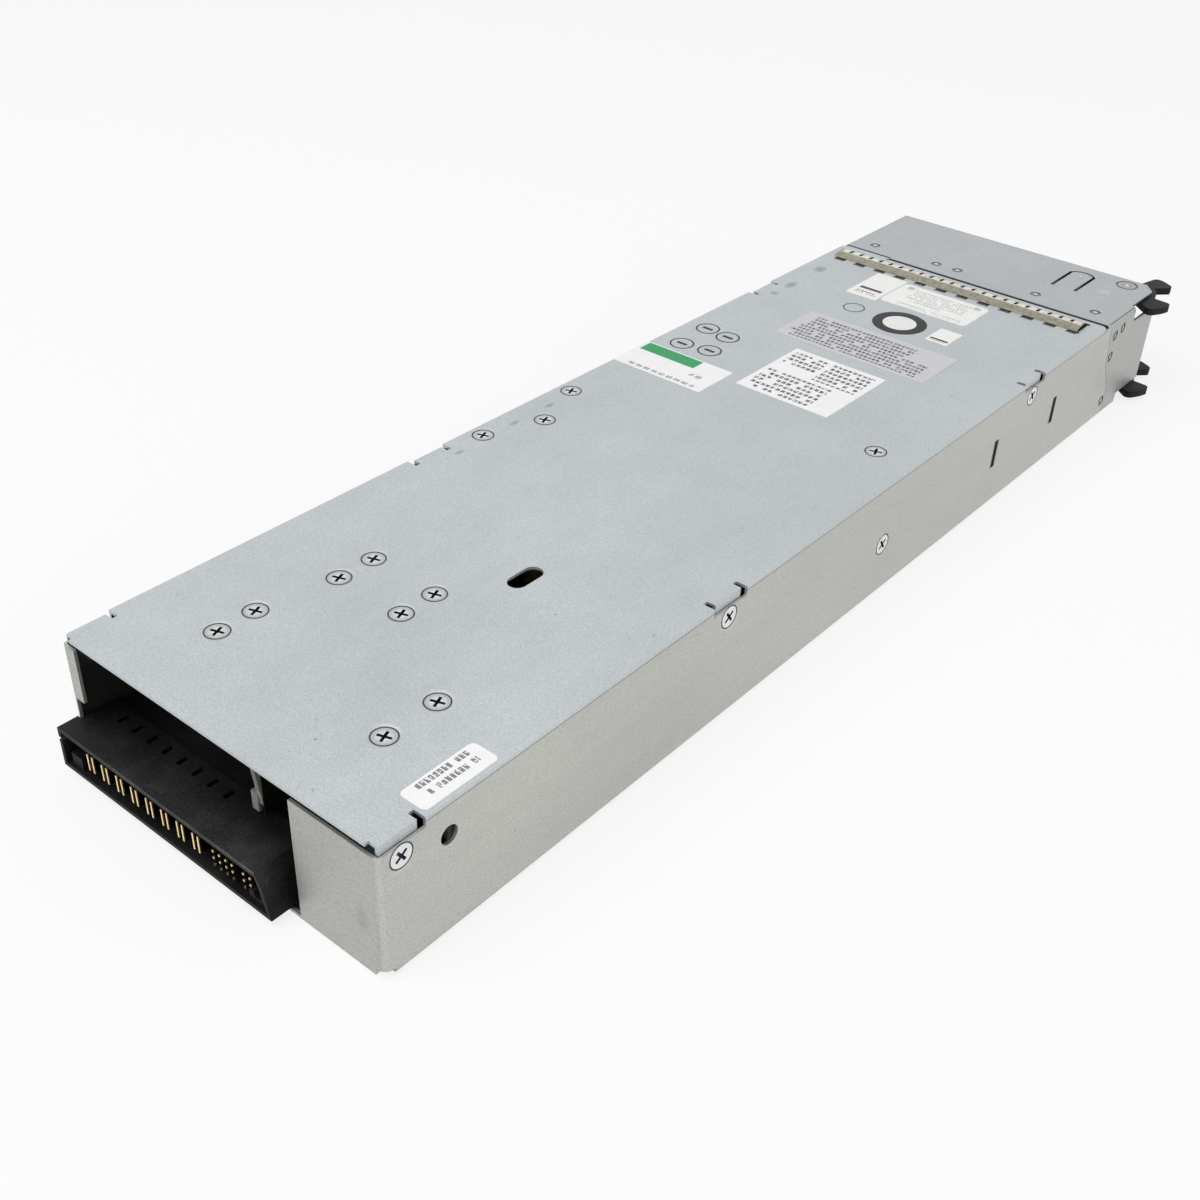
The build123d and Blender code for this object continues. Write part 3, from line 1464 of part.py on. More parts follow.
with BuildPart() as output_capacitors:
    with BuildSketch(Plane.XY.offset(board_top)):
        with Locations(*output_capacitor_spots):
            Circle(output_capacitor_diameter / 2)
    extrude(amount=output_capacitor_height)
    chamfer(
        output_capacitors.edges().filter_by(GeomType.CIRCLE).group_by(Axis.Z)[-1], film
    )
output_capacitors.part.label = "output_capacitors"
export_step(output_capacitors.part, "parts/output_capacitors.step")

with BuildPart() as bus_bars:
    with Locations(*[(x, bus_bar_front, board_top) for x in bus_bar_x]):
        Box(*bus_bar_size, align=(Align.CENTER, Align.MIN, Align.MIN))
    with Locations(*[(x, bus_bar_front, board_top + bus_bar_size[2]) for x in bus_bar_x]):
        Box(
            2 * bus_bar_size[0], bus_bar_size[1], bus_bar_size[0],
            align=(Align.CENTER, Align.MIN, Align.MAX),
        )
bus_bars.part.label = "bus_bars"
export_step(bus_bars.part, "parts/bus_bars.step")


# Connector housing: one moulded block that sits on the board edge and reaches out of the
# case, open at the end, with ribs, vents over the blades and two stepped end blocks.
plug_face = rear + plug_reach
plug_floor = plug_face - plug_floor_depth
blade_count = int((blade_left - pin_columns[0] - blade_pin_gap) / blade_pitch) + 1
blade_x = [blade_left - index * blade_pitch for index in range(blade_count)]
plate_x = [
    x + side * (blade_gap + blade_thickness) / 2 for x in blade_x for side in (-1, 1)
]
pin_spots = [(x, z) for x in pin_columns for z, _ in pin_rows]
low_pin_spots = [(x, pin_low_row) for x in pin_columns[:-1]]
rib_x = [x - blade_pitch / 2 for x in blade_x]

with BuildPart() as connector_housing:
    with BuildSketch(Plane.XZ.offset(-plug_face)):
        with BuildLine():
            Polyline(
                (plug_left, plug_low), (plug_left, plug_high), *plug_bevel,
                (plug_right, plug_low), close=True,
            )
        make_face()
    extrude(amount=plug_reach)
    with BuildSketch(Plane.XZ.offset(-rear)):
        with BuildLine():
            Polyline(
                (plug_inner_left, plug_low), (plug_inner_left, plug_high), *plug_bevel,
                (plug_right, plug_low), close=True,
            )
        make_face()
    extrude(amount=rear - board_rear - screw_clearance)
    with Locations((plug_right, plug_back, board_top)):
        Box(
            plug_inner_left - plug_right, board_rear + pin_clearance - plug_back,
            plug_foot_high - board_top, align=Align.MIN,
        )
    # Hood over the contact tails in the case, with ribs between them and open at the back
    hood_length = plug_back - plug_hood_back
    with Locations((plug_right, plug_hood_back, plug_hood_low)):
        Box(
            plug_inner_left - plug_right, hood_length, plug_foot_high - plug_hood_low,
            align=Align.MIN,
        )
    with Locations(*[(x, plug_hood_back, board_top)
                     for x in (plug_right, plug_inner_left - plug_wall)]):
        Box(plug_wall, hood_length, plug_hood_low - board_top, align=Align.MIN)
    with Locations(*[(x, plug_hood_back + plug_wall, board_top) for x in rib_x]):
        Box(
            plug_rib, hood_length - plug_wall, plug_hood_low - board_top,
            align=(Align.CENTER, Align.MIN, Align.MIN),
        )
    # The part outside the case is a little lower on top
    with Locations((plug_left, rear - sheet, plug_high)):
        Box(
            case_width, plug_reach + sheet, plug_lip, align=(Align.MAX, Align.MIN, Align.MAX),
            mode=Mode.SUBTRACT,
        )
    # Open cavity, wider in the part outside the case
    cavity_low = plug_low + plug_wall
    cavity_high = plug_high - plug_wall
    for left, depth in (
        (plug_left - plug_wall, plug_reach), (plug_inner_left - plug_wall, plug_floor_depth),
    ):
        with BuildSketch(Plane.XZ.offset(-plug_face)):
            with BuildLine():
                Polyline(
                    (left, cavity_low), (left, cavity_high),
                    (plug_bevel[0][0], cavity_high),
                    (plug_bevel[1][0] + plug_wall, plug_bevel[1][1]),
                    (plug_right + plug_wall, cavity_low), close=True,
                )
            make_face()
        extrude(amount=depth, mode=Mode.SUBTRACT)
    # Stepped blocks at both ends, the right one with a half round hollow on top
    with Locations((plug_inner_left - plug_wall, plug_floor, cavity_low)):
        Box(
            plug_block_left[0] - plug_wall, plug_floor_depth - sheet, plug_block_left[1],
            align=(Align.MAX, Align.MIN, Align.MIN),
        )
    with Locations((plug_right + 2 * plug_wall, plug_floor, cavity_low)):
        Box(
            plug_block_right[0], plug_floor_depth - sheet, plug_block_right[1],
            align=Align.MIN,
        )
    with BuildSketch(Plane.XZ.offset(-plug_face)):
        with Locations((
            plug_right + 2 * plug_wall + plug_block_right[0] / 2,
            cavity_low + plug_block_right[1],
        )):
            Circle(plug_block_groove)
    extrude(amount=plug_floor_depth, mode=Mode.SUBTRACT)
    # Slit in the left end wall and vents over the blades
    with Locations((plug_left, plug_face, (plug_slit_low + plug_slit_high) / 2)):
        Box(
            2 * plug_wall, plug_reach - sheet, sheet, mode=Mode.SUBTRACT,
            align=(Align.CENTER, Align.MAX, Align.CENTER),
        )
    with BuildSketch(Plane.XY.offset(cavity_high)):
        with Locations(*[(x + vent_shift, (vent_front + vent_rear) / 2) for x in blade_x]):
            Rectangle(vent_width, vent_rear - vent_front)
    extrude(amount=2 * plug_wall, mode=Mode.SUBTRACT)
    # Slots for the contacts through the back wall
    with BuildSketch(Plane.XZ.offset(-plug_floor)):
        with Locations(*[(x, blade_z) for x in plate_x]):
            Rectangle(blade_thickness, blade_height)
        with Locations(*pin_spots):
            Rectangle(pin_side, pin_side)
    extrude(amount=plug_floor - plug_back, mode=Mode.SUBTRACT)
connector_housing.part.label = "connector_housing"
export_step(connector_housing.part, "parts/connector_housing.step")

blade_tip = plug_face - blade_tip_back
blade_low = blade_z - blade_height / 2
blade_high = blade_z + blade_height / 2

with BuildPart() as power_blades:
    for x in plate_x:
        with BuildSketch(Plane.YZ.offset(x - blade_thickness / 2)) as blade_side:
            with BuildLine():
                Polyline(
                    (blade_tip, blade_low), (blade_tip, blade_high),
                    (blade_tail_y, blade_high), (blade_tail_y, board_top),
                    (blade_tail_y + blade_tail, board_top),
                    (blade_tail_y + blade_tail, blade_low), close=True,
                )
            make_face()
            chamfer(blade_side.vertices().filter_by_position(
                Axis.Y, blade_tip - film, blade_tip + film), film)
        extrude(amount=blade_thickness)
power_blades.part.label = "power_blades"
export_step(power_blades.part, "parts/power_blades.step")

pin_tip = plug_face - pin_tip_back

with BuildPart() as signal_pins:
    for z, tail in pin_rows:
        with Locations(*[(x, pin_tip, z) for x in pin_columns]):
            Box(pin_side, pin_tip - tail, pin_side, align=(Align.CENTER, Align.MAX, Align.CENTER))
        with Locations(*[(x, tail, board_top) for x in pin_columns]):
            Box(
                pin_side, pin_side, z - board_top,
                align=(Align.CENTER, Align.MIN, Align.MIN),
            )
    with Locations(*[(x, pin_tip, z) for x, z in low_pin_spots]):
        Box(
            pin_side, pin_tip - plug_floor, pin_side,
            align=(Align.CENTER, Align.MAX, Align.CENTER),
        )
signal_pins.part.label = "signal_pins"
export_step(signal_pins.part, "parts/signal_pins.step")


# Control card: an upright board over the signal contacts, with its chips and one block.
with BuildPart() as control_card:
    with BuildSketch(Plane.YZ.offset(card_x - card_thickness / 2)):
        with BuildLine():
            Polyline(
                (card_front, board_top), (card_step, board_top),
                (card_step, card_step_height), (card_rear - 2 * sheet, card_step_height),
                (card_rear, 2 * card_step_height), (card_rear, card_top),
                (card_front, card_top), close=True,
            )
        make_face()
    extrude(amount=card_thickness)
control_card.part.label = "control_card"
export_step(control_card.part, "parts/control_card.step")

with BuildPart() as card_parts:
    with Locations(*[(card_x - card_thickness / 2, y, z) for y, z in card_chip_spots]):
        Box(*card_chip_size, align=(Align.MAX, Align.CENTER, Align.CENTER))
    with Locations((card_x + card_thickness / 2, *card_block_spot)):
        Box(*card_block, align=(Align.MIN, Align.CENTER, Align.CENTER))
card_parts.part.label = "card_parts"
export_step(card_parts.part, "parts/card_parts.step")


# Countersunk screws with a crossed recess, in the cover and in both walls.
with BuildPart() as cover_screws:
    with Locations(*[(x, y, cover_screw_top) for x, y in cover_screw_spots]):
        Cylinder(
            screw_diameter / 2, screw_length, align=(Align.CENTER, Align.CENTER, Align.MAX)
        )
        Cone(
            screw_diameter / 2, screw_head_diameter / 2, cone_depth,
            align=(Align.CENTER, Align.CENTER, Align.MAX),
        )
    with Locations(*[(x, y, cover_screw_top) for x, y in cover_screw_spots]):
        for angle in (0, 90):
            Box(
                recess_length, recess_width, 2 * recess_depth,
                rotation=(0, 0, angle + recess_turn),
                mode=Mode.SUBTRACT,
            )
cover_screws.part.label = "cover_screws"
export_step(cover_screws.part, "parts/cover_screws.step")

with BuildPart() as side_screws:
    with Locations(*side_screw_places, mid_screw_place):
        Cylinder(
            screw_diameter / 2, side_screw_length,
            align=(Align.CENTER, Align.CENTER, Align.MAX),
        )
        Cone(
            screw_diameter / 2, screw_head_diameter / 2, cone_depth,
            align=(Align.CENTER, Align.CENTER, Align.MAX),
        )
    with Locations(*side_screw_places, mid_screw_place):
        for angle in (0, 90):
            Box(
                recess_length, recess_width, 2 * recess_depth,
                rotation=(0, 0, angle + side_recess_turn),
                mode=Mode.SUBTRACT,
            )
side_screws.part.label = "side_screws"
export_step(side_screws.part, "parts/side_screws.step")

with BuildPart() as tab_nuts:
    nut_face = wall_in - pin_clearance - sheet
    with Locations(
        *[
            Location((side * nut_face, spot, side_screw_height), (0, side * 90, 0))
            for side in (-1, 1) for spot in tab_spots
        ]
    ):
        Cylinder(
            nut_diameter / 2, nut_height, align=(Align.CENTER, Align.CENTER, Align.MAX)
        )
        Cylinder(
            screw_diameter / 2 + screw_clearance, nut_height,
            align=(Align.CENTER, Align.CENTER, Align.MAX), mode=Mode.SUBTRACT,
        )
tab_nuts.part.label = "tab_nuts"
export_step(tab_nuts.part, "parts/tab_nuts.step")
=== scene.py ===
"""The looks of a plug-in switching power supply: a long flat zinc coated steel case with a
black power connector at the near end and an ejector lever at the far one."""

import math

import bpy
from mathutils import Euler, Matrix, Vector


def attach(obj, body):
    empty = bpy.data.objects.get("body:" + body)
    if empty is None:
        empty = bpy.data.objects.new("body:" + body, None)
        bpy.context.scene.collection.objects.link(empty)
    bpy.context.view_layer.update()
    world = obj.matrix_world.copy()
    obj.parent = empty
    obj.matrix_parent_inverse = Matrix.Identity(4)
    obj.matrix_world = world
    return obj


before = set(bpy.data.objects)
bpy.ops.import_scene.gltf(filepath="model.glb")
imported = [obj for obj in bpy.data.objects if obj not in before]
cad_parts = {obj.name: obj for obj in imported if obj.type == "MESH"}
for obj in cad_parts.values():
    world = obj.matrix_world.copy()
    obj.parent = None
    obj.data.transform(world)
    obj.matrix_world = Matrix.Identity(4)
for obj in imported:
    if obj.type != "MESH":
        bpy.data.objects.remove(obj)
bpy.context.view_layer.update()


# Studio: the camera stands where the photographer's did, worked out from the case edges.
# The lamps are plain and large, and the floor is pale and keeps a soft shadow.
camera_place = (-0.2441, 0.3708, 0.2752)
camera_turn = 218.754
camera_fall = 34.741
camera_roll = 2.165
image_side = 1200
focal_pixels = 1477.06
sensor_width = 36.0
studio_lamps = (
    ("key_lamp", (0.30, 0.75, 1.30), 1.2, 11.0, (1.0, 0.998, 0.99)),
    ("side_lamp", (-1.30, -0.12, 0.45), 0.9, 6.2, (1.0, 0.99, 0.97)),
    ("end_lamp", (-0.20, 1.50, 0.60), 0.8, 2.6, (1.0, 1.0, 1.0)),
)
lamp_target = (0, 0.05, 0.02)
room_light = 0.5
floor_width = 40.0
floor_drop = 0.0002
floor_glow = 0.80
plain_white = (1, 1, 1, 1)
floor_white = (0.86, 0.86, 0.86, 1)

bpy.ops.object.select_all(action="DESELECT")
lens = bpy.data.cameras.new("studio_camera")
lens.sensor_width = sensor_width
lens.lens = focal_pixels / image_side * sensor_width
lens.clip_start = 0.01
studio_camera = bpy.data.objects.new("studio_camera", lens)
bpy.context.collection.objects.link(studio_camera)
studio_camera.location = camera_place
tilt = Euler((math.radians(90 - camera_fall), 0, math.radians(camera_turn)), "XYZ")
roll = Euler((0, 0, math.radians(camera_roll)), "XYZ")
studio_camera.rotation_euler = (tilt.to_quaternion() @ roll.to_quaternion()).to_euler()
bpy.context.scene.camera = studio_camera
bpy.context.scene.view_settings.view_transform = "Standard"

for name, place, side, power, colour in studio_lamps:
    lamp = bpy.data.lights.new(name, "AREA")
    lamp.shape = "SQUARE"
    lamp.size = side
    lamp.energy = power
    lamp.color = colour
    holder = bpy.data.objects.new(name, lamp)
    bpy.context.collection.objects.link(holder)
    holder.location = place
    aim = Vector(lamp_target) - Vector(place)
    holder.rotation_euler = aim.to_track_quat("-Z", "Y").to_euler()


def join_values(tree, kind, first, second):
    """One value from two others, by the kind of sum that is named."""
    node = tree.nodes.new("ShaderNodeMath")
    node.operation = kind
    tree.links.new(first, node.inputs[0])
    tree.links.new(second, node.inputs[1])
    return node.outputs[0]


def change_value(tree, kind, value, amount=0.0):
    """One value from another and a plain number, by the kind of sum that is named."""
    node = tree.nodes.new("ShaderNodeMath")
    node.operation = kind
    node.inputs[1].default_value = amount
    tree.links.new(value, node.inputs[0])
    return node.outputs[0]


def seen_or_mirrored(tree):
    """One for what the camera sees, straight or in metal or glass, else nought."""
    rays = tree.nodes.new("ShaderNodeLightPath").outputs
    seen = join_values(tree, "MAXIMUM", rays["Is Camera Ray"], rays["Is Glossy Ray"])
    return join_values(tree, "MAXIMUM", seen, rays["Is Transmission Ray"])


def new_finish(name):
    """A new material, with its node tree and its shader."""
    finish = bpy.data.materials.new(name)
    finish.use_nodes = True
    return finish, finish.node_tree, finish.node_tree.nodes["Principled BSDF"]


studio = bpy.data.worlds.new("studio")
bpy.context.scene.world = studio
studio.use_nodes = True
sky = studio.node_tree
background = sky.nodes["Background"]
background.inputs["Color"].default_value = plain_white
sky_light = change_value(sky, "MAXIMUM", seen_or_mirrored(sky), room_light)
sky.links.new(sky_light, background.inputs["Strength"])

bpy.ops.mesh.primitive_plane_add(size=floor_width, location=(0, 0, -floor_drop))
floor = bpy.context.object
floor.name = "floor"
bpy.ops.object.transform_apply(location=True)
floor_paint, tree, matt = new_finish("floor_paint")
matt.inputs["Base Color"].default_value = floor_white
matt.inputs["Roughness"].default_value = 0.9
glow = tree.nodes.new("ShaderNodeEmission")
glow.inputs["Color"].default_value = plain_white
mix = tree.nodes.new("ShaderNodeMixShader")
share = change_value(tree, "MULTIPLY", seen_or_mirrored(tree), floor_glow)
tree.links.new(share, mix.inputs["Fac"])
tree.links.new(matt.outputs[0], mix.inputs[1])
tree.links.new(glow.outputs[0], mix.inputs[2])
tree.links.new(mix.outputs[0], tree.nodes["Material Output"].inputs["Surface"])
floor.data.materials.append(floor_paint)


# Base tray and front panel: zinc coated steel sheet, folded, with a fine dull speckle,
# faint drawing lines along the sheet and smudges from handling. On the tray, painted shade
# fills the inside, the wall slits and the pressing, darkens the end face, a line under the
# cover's edge and the foot of the wall, and a painted highlight runs down the near bend.
def dress(names, material):
    """Give the named pieces of the supply a material."""
    for name in names:
        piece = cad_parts[name]
        piece.data.materials.clear()
        piece.data.materials.append(material)


def grey(level):
    """A plain grey; above one it brightens what it tints."""
    return (level, level, level)


def texture_on(tree, kind, scale, stretch=(1, 1, 1), **values):
    """A pattern that is fixed to the piece, stretched along its axes where asked."""
    place = tree.nodes.new("ShaderNodeTexCoord")
    fit = tree.nodes.new("ShaderNodeMapping")
    fit.inputs["Scale"].default_value = stretch
    tree.links.new(place.outputs["Object"], fit.inputs["Vector"])
    pattern = tree.nodes.new(kind)
    pattern.inputs["Scale"].default_value = scale
    for key, value in values.items():
        pattern.inputs[key].default_value = value
    tree.links.new(fit.outputs["Vector"], pattern.inputs["Vector"])
    return pattern


def ramp_of(tree, source, stops):
    """Colours for a value that runs through the stops, each a place and a colour."""
    ramp = tree.nodes.new("ShaderNodeValToRGB")
    elements = ramp.color_ramp.elements
    for index, (place, colour) in enumerate(stops):
        stop = elements[index] if index < 2 else elements.new(place)
        stop.position = place
        stop.color = (*colour, 1)
    tree.links.new(source, ramp.inputs["Fac"])
    return ramp.outputs["Color"]


def blend_colours(tree, kind, first, second):
    """One colour laid wholly on another, by the kind of blend that is named."""
    mix = tree.nodes.new("ShaderNodeMix")
    mix.data_type = "RGBA"
    mix.blend_type = kind
    mix.inputs["Factor"].default_value = 1.0
    tree.links.new(first, mix.inputs["A"])
    tree.links.new(second, mix.inputs["B"])
    return mix.outputs["Result"]


def add_bump(tree, height, strength, distance):
    """Small relief from a pattern; the distance is in metres."""
    bump = tree.nodes.new("ShaderNodeBump")
    bump.inputs["Strength"].default_value = strength
    bump.inputs["Distance"].default_value = distance
    tree.links.new(height, bump.inputs["Height"])
    tree.links.new(bump.outputs["Normal"], tree.nodes["Principled BSDF"].inputs["Normal"])


def place_on_case(tree):
    """The three values of a point's place in the frame, in metres."""
    place = tree.nodes.new("ShaderNodeTexCoord")
    split = tree.nodes.new("ShaderNodeSeparateXYZ")
    tree.links.new(place.outputs["Object"], split.inputs[0])
    return split.outputs


def box_mask(tree, low, high):
    """One inside the box between two corners in millimetres, else nought."""
    values = place_on_case(tree)
    inside = None
    for axis in range(len(low)):
        near = tree.nodes.new("ShaderNodeMath")
        near.operation = "COMPARE"
        near.inputs[1].default_value = (low[axis] + high[axis]) / 2000
        near.inputs[2].default_value = (high[axis] - low[axis]) / 2000
        tree.links.new(values[axis], near.inputs[0])
        within = near.outputs[0]
        inside = within if inside is None else join_values(tree, "MULTIPLY", inside, within)
    return inside


def smudge_mask(tree, middle, reach):
    """A soft spot, one at its middle and nought at its rim; sizes in millimetres."""
    place = tree.nodes.new("ShaderNodeTexCoord")
    fit = tree.nodes.new("ShaderNodeMapping")
    fit.vector_type = "TEXTURE"
    fit.inputs["Location"].default_value = [value / 1000 for value in middle]
    fit.inputs["Scale"].default_value = [value / 1000 for value in reach]
    tree.links.new(place.outputs["Object"], fit.inputs["Vector"])
    length = tree.nodes.new("ShaderNodeVectorMath")
    length.operation = "LENGTH"
    tree.links.new(fit.outputs["Vector"], length.inputs[0])
    fade = tree.nodes.new("ShaderNodeMapRange")
    fade.interpolation_type = "SMOOTHSTEP"
    fade.inputs["From Min"].default_value = 1.0
    fade.inputs["From Max"].default_value = 0.25
    tree.links.new(length.outputs["Value"], fade.inputs["Value"])
    return fade.outputs["Result"]


def tint(tree, where, tone):
    """Multiply the colour by a tone where the mask is one."""
    shader = tree.nodes["Principled BSDF"]
    under = shader.inputs["Base Color"].links[0].from_socket
    mix = tree.nodes.new("ShaderNodeMix")
    mix.data_type = "RGBA"
    mix.blend_type = "MULTIPLY"
    mix.inputs["B"].default_value = (*tone, 1)
    tree.links.new(where, mix.inputs["Factor"])
    tree.links.new(under, mix.inputs["A"])
    tree.links.new(mix.outputs["Result"], shader.inputs["Base Color"])


def tint_box(material, corners, tone):
    """Tint what lies between two corners, given in millimetres."""
    tint(material.node_tree, box_mask(material.node_tree, *corners), tone)


def tint_spot(material, middle, reach, tone):
    """Tint a soft spot, given by its middle and its reach in millimetres."""
    tint(material.node_tree, smudge_mask(material.node_tree, middle, reach), tone)


def copy_finish(material, name):
    """The same finish under another name, to be tinted by itself."""
    twin = material.copy()
    twin.name = name
    return twin


def zinc_sheet(name, dark, middle, pale, grain, dullness, drawn):
    """Zinc coated sheet: fine speckle, crystals, clouds, drawing lines and a few pits."""
    sheet, tree, shader = new_finish(name)
    shader.inputs["Metallic"].default_value = 0.72
    speckle = texture_on(tree, "ShaderNodeTexNoise", grain, Detail=3.0, Roughness=0.75)
    crystals = texture_on(tree, "ShaderNodeTexVoronoi", grain * 0.5, Randomness=1.0)
    clouds = texture_on(tree, "ShaderNodeTexNoise", 16.0, Detail=3.0, Roughness=0.6)
    lines = texture_on(
        tree, "ShaderNodeTexNoise", 160.0, stretch=drawn, Detail=3.0, Roughness=0.6
    )
    pits = texture_on(tree, "ShaderNodeTexVoronoi", 75.0, Randomness=1.0)
    colour = ramp_of(tree, speckle.outputs["Fac"], ((0.28, dark), (0.50, middle), (0.72, pale)))
    for pattern, stops in (
        (clouds.outputs["Fac"], ((0.30, grey(0.92)), (0.70, grey(1.0)))),
        (crystals.outputs["Color"], ((0.0, grey(0.95)), (1.0, grey(1.0)))),
        (lines.outputs["Fac"], ((0.30, grey(0.96)), (0.60, grey(1.0)))),
        (pits.outputs["Distance"], ((0.015, grey(0.62)), (0.045, grey(1.0)))),
    ):
        colour = blend_colours(tree, "MULTIPLY", colour, ramp_of(tree, pattern, stops))
    tree.links.new(colour, shader.inputs["Base Color"])
    wear = ((0.3, grey(dullness)), (0.7, grey(dullness + 0.12)))
    tree.links.new(ramp_of(tree, clouds.outputs["Fac"], wear), shader.inputs["Roughness"])
    add_bump(tree, speckle.outputs["Fac"], 0.22, 0.0001)
    return sheet


tray_inside = ((-59.6, -230.0, 0.6), (59.6, 216.35, 41.9))
tray_end = ((-61.0, 216.9, -1.0), (61.0, 218.0, 43.0))
end_bend = ((-60.15, 215.5, 2.0), (-58.8, 217.05, 41.0))
wall_foot = ((-61.0, -170.0, -1.0), (-58.9, 217.3, 0.6))
wall_crest = ((-61.0, -165.0, 40.95), (-60.0, 217.3, 41.49))
foot_pressing = ((-60.44, -181.0, 3.0), (-60.1, -172.0, 11.0))
end_smudge = ((-53.6, 217.2, 16.8), (2.6, 4.0, 6.5))
wall_smudge = ((-60.5, 130.0, 14.0), (9.0, 60.0, 22.0))
wall_slits = (-79.5, -126.0)
slit_half = 1.6
slit_foot, slit_head = 16.4, 27.4
painted_bend_highlight = (1.07, 1.07, 1.075)
inner_shade = grey(0.13)
pressed_shade = grey(0.50)
edge_shade = grey(0.68)

wall_zinc = zinc_sheet(
    "wall_zinc", (0.37, 0.37, 0.345), (0.50, 0.505, 0.475), (0.63, 0.63, 0.60),
    grain=2300.0, dullness=0.40, drawn=(1.0, 0.08, 1.0),
)
dress(["front_panel"], wall_zinc)
tray_zinc = copy_finish(wall_zinc, "tray_zinc")
tint_spot(tray_zinc, *end_smudge, grey(0.86))
tint_spot(tray_zinc, *wall_smudge, grey(0.94))
# Painted shade on the end face of the tray.
tint_box(tray_zinc, tray_end, grey(0.92))
# Painted highlight down the near bend.
tint_box(tray_zinc, end_bend, painted_bend_highlight)
# Painted shade over the inside of the tray and in the two wall slits.
tint_box(tray_zinc, tray_inside, inner_shade)
for spot in wall_slits:
    slit = ((-61.0, spot - slit_half, slit_foot), (61.0, spot + slit_half, slit_head))
    tint_box(tray_zinc, slit, inner_shade)
# Painted shadow along the foot of the wall, painted shade under the cover's edge and in the
# recess of the wall's pressing.
tint_box(tray_zinc, wall_foot, pressed_shade)
tint_box(tray_zinc, wall_crest, edge_shade)
tint_box(tray_zinc, foot_pressing, pressed_shade)
dress(["base_tray"], tray_zinc)


# Front section: a sleeve of bluish zinc coated sheet, folded round the tray's end, with painted
# warmer shade on its sides. Its clinched buttons carry painted highlights, and its cut edges
# are dark, bare steel with painted shadow of the gap beside them. Painted shade fills the
# inside, the pressings and the tongue's slits, and a soft spot on the top is paler.
cover_level = 42.5
shell_sides = (
    ((-61.0, -230.0, -1.0), (-60.3, -160.0, 42.2)), ((60.3, -230.0, -1.0), (61.0, -160.0, 42.2)),
)
painted_side_shade = (0.93, 0.90, 0.84)
cut_edges = (
    ((-60.0, -167.2, 41.0), (38.2, -166.4, 42.6)), ((38.2, -168.2, 41.0), (60.0, -167.4, 42.6)),
)
cut_edge_and_gap_shadow = grey(0.25)
top_pressings = ((-60.0, -217.0, 42.0), (60.0, -168.3, 42.44))
tongue_window = ((-37.0, -215.0, 41.0), (-22.5, -185.0, 42.44))
wall_pressing = ((-60.44, -186.0, 22.0), (-60.1, -171.0, 41.0))
tongue_cuts = (-34.8, -24.8)
cut_half = 0.7
cut_start, cut_end = -208.45, -189.8
button_places = (50.4, 20.7, 10.8, -24.6, -50.2)
button_row = -175.65
button_reach = (1.8, 1.8, 1.0)
seat_spot = ((-44.1, -197.5, cover_level), (3.6, 3.6, 1.0))

shell_zinc = zinc_sheet(
    "shell_zinc", (0.36, 0.385, 0.395), (0.47, 0.495, 0.51), (0.58, 0.605, 0.62),
    grain=2300.0, dullness=0.40, drawn=(0.5, 0.5, 1.0),
)
# Painted warmer shade on both sides of the sleeve.
for side in shell_sides:
    tint_box(shell_zinc, side, painted_side_shade)
# Dark cut edges: bare steel, with painted shadow of the gap beside them.
for edge in cut_edges:
    tint_box(shell_zinc, edge, cut_edge_and_gap_shadow)
# Painted shade inside, in the clinch rings, slits and dish of the top, in the tongue's slits and
# in the wall's pressing.
tint_box(shell_zinc, tray_inside, inner_shade)
tint_box(shell_zinc, top_pressings, pressed_shade)
tint_box(shell_zinc, tongue_window, inner_shade)
tint_box(shell_zinc, wall_pressing, pressed_shade)
for spot in tongue_cuts:
    cut = ((spot - cut_half, cut_start, 41.0), (spot + cut_half, cut_end, 43.0))
    tint_box(shell_zinc, cut, inner_shade)
# Painted highlights on the clinched buttons.
for spot in button_places:
    tint_spot(shell_zinc, (spot, button_row, cover_level), button_reach, grey(1.4))
tint_spot(shell_zinc, *seat_spot, grey(1.16))
dress(["front_shell"], shell_zinc)


# Top cover: one flat sheet of brighter zinc coated steel with folded tabs, held by
# countersunk screws and by the tabs inside the walls. A few grey rubs near the left edge.
# Painted shade lies on its underside, under the finger strip and in stripes at the slots
# under the strip's clips.
def stripe_mask(tree, start, pitch, width):
    """One in stripes across the case, at a pitch and from a start in millimetres."""
    across = place_on_case(tree)[0]
    from_start = change_value(tree, "SUBTRACT", across, start / 1000)
    steps = change_value(tree, "DIVIDE", from_start, pitch / 1000)
    in_step = change_value(tree, "FRACT", steps)
    return change_value(tree, "LESS_THAN", in_step, width / pitch)


cover_rubs = (
    ((52.8, -136.1), (3.2, 4.6)), ((52.3, -113.9), (2.6, 5.4)), ((52.5, -102.2), (2.4, 2.2)),
    ((52.7, 75.9), (1.2, 3.0)), ((53.4, 49.2), (1.2, 3.4)), ((53.3, 31.7), (1.2, 3.0)),
)
rub_depth = 4.0
rub_shade = grey(0.66)
slot_row = ((-53.6, -162.3, 41.0), (56.0, -152.9, 43.0))
cover_underside = ((-58.2, -230.0, 0.6), (59.2, 300.0, 41.6))
clip_row = ((-53.6, -151.8, 41.0), (56.0, -150.2, 43.0))
clip_pitch = 9.525
clip_width = 5.0
clip_middle = 5.2625

cover_zinc = zinc_sheet(
    "cover_zinc", (0.415, 0.445, 0.46), (0.54, 0.575, 0.595), (0.665, 0.70, 0.72),
    grain=2500.0, dullness=0.42, drawn=(0.6, 0.3, 1.0),
)
for spot, reach in cover_rubs:
    tint_spot(cover_zinc, (*spot, cover_level), (*reach, rub_depth), rub_shade)
# Painted shadow of the finger strip on the cover beneath it, and painted shade on the underside.
tint_box(cover_zinc, slot_row, inner_shade)
tint_box(cover_zinc, cover_underside, inner_shade)
tree = cover_zinc.node_tree
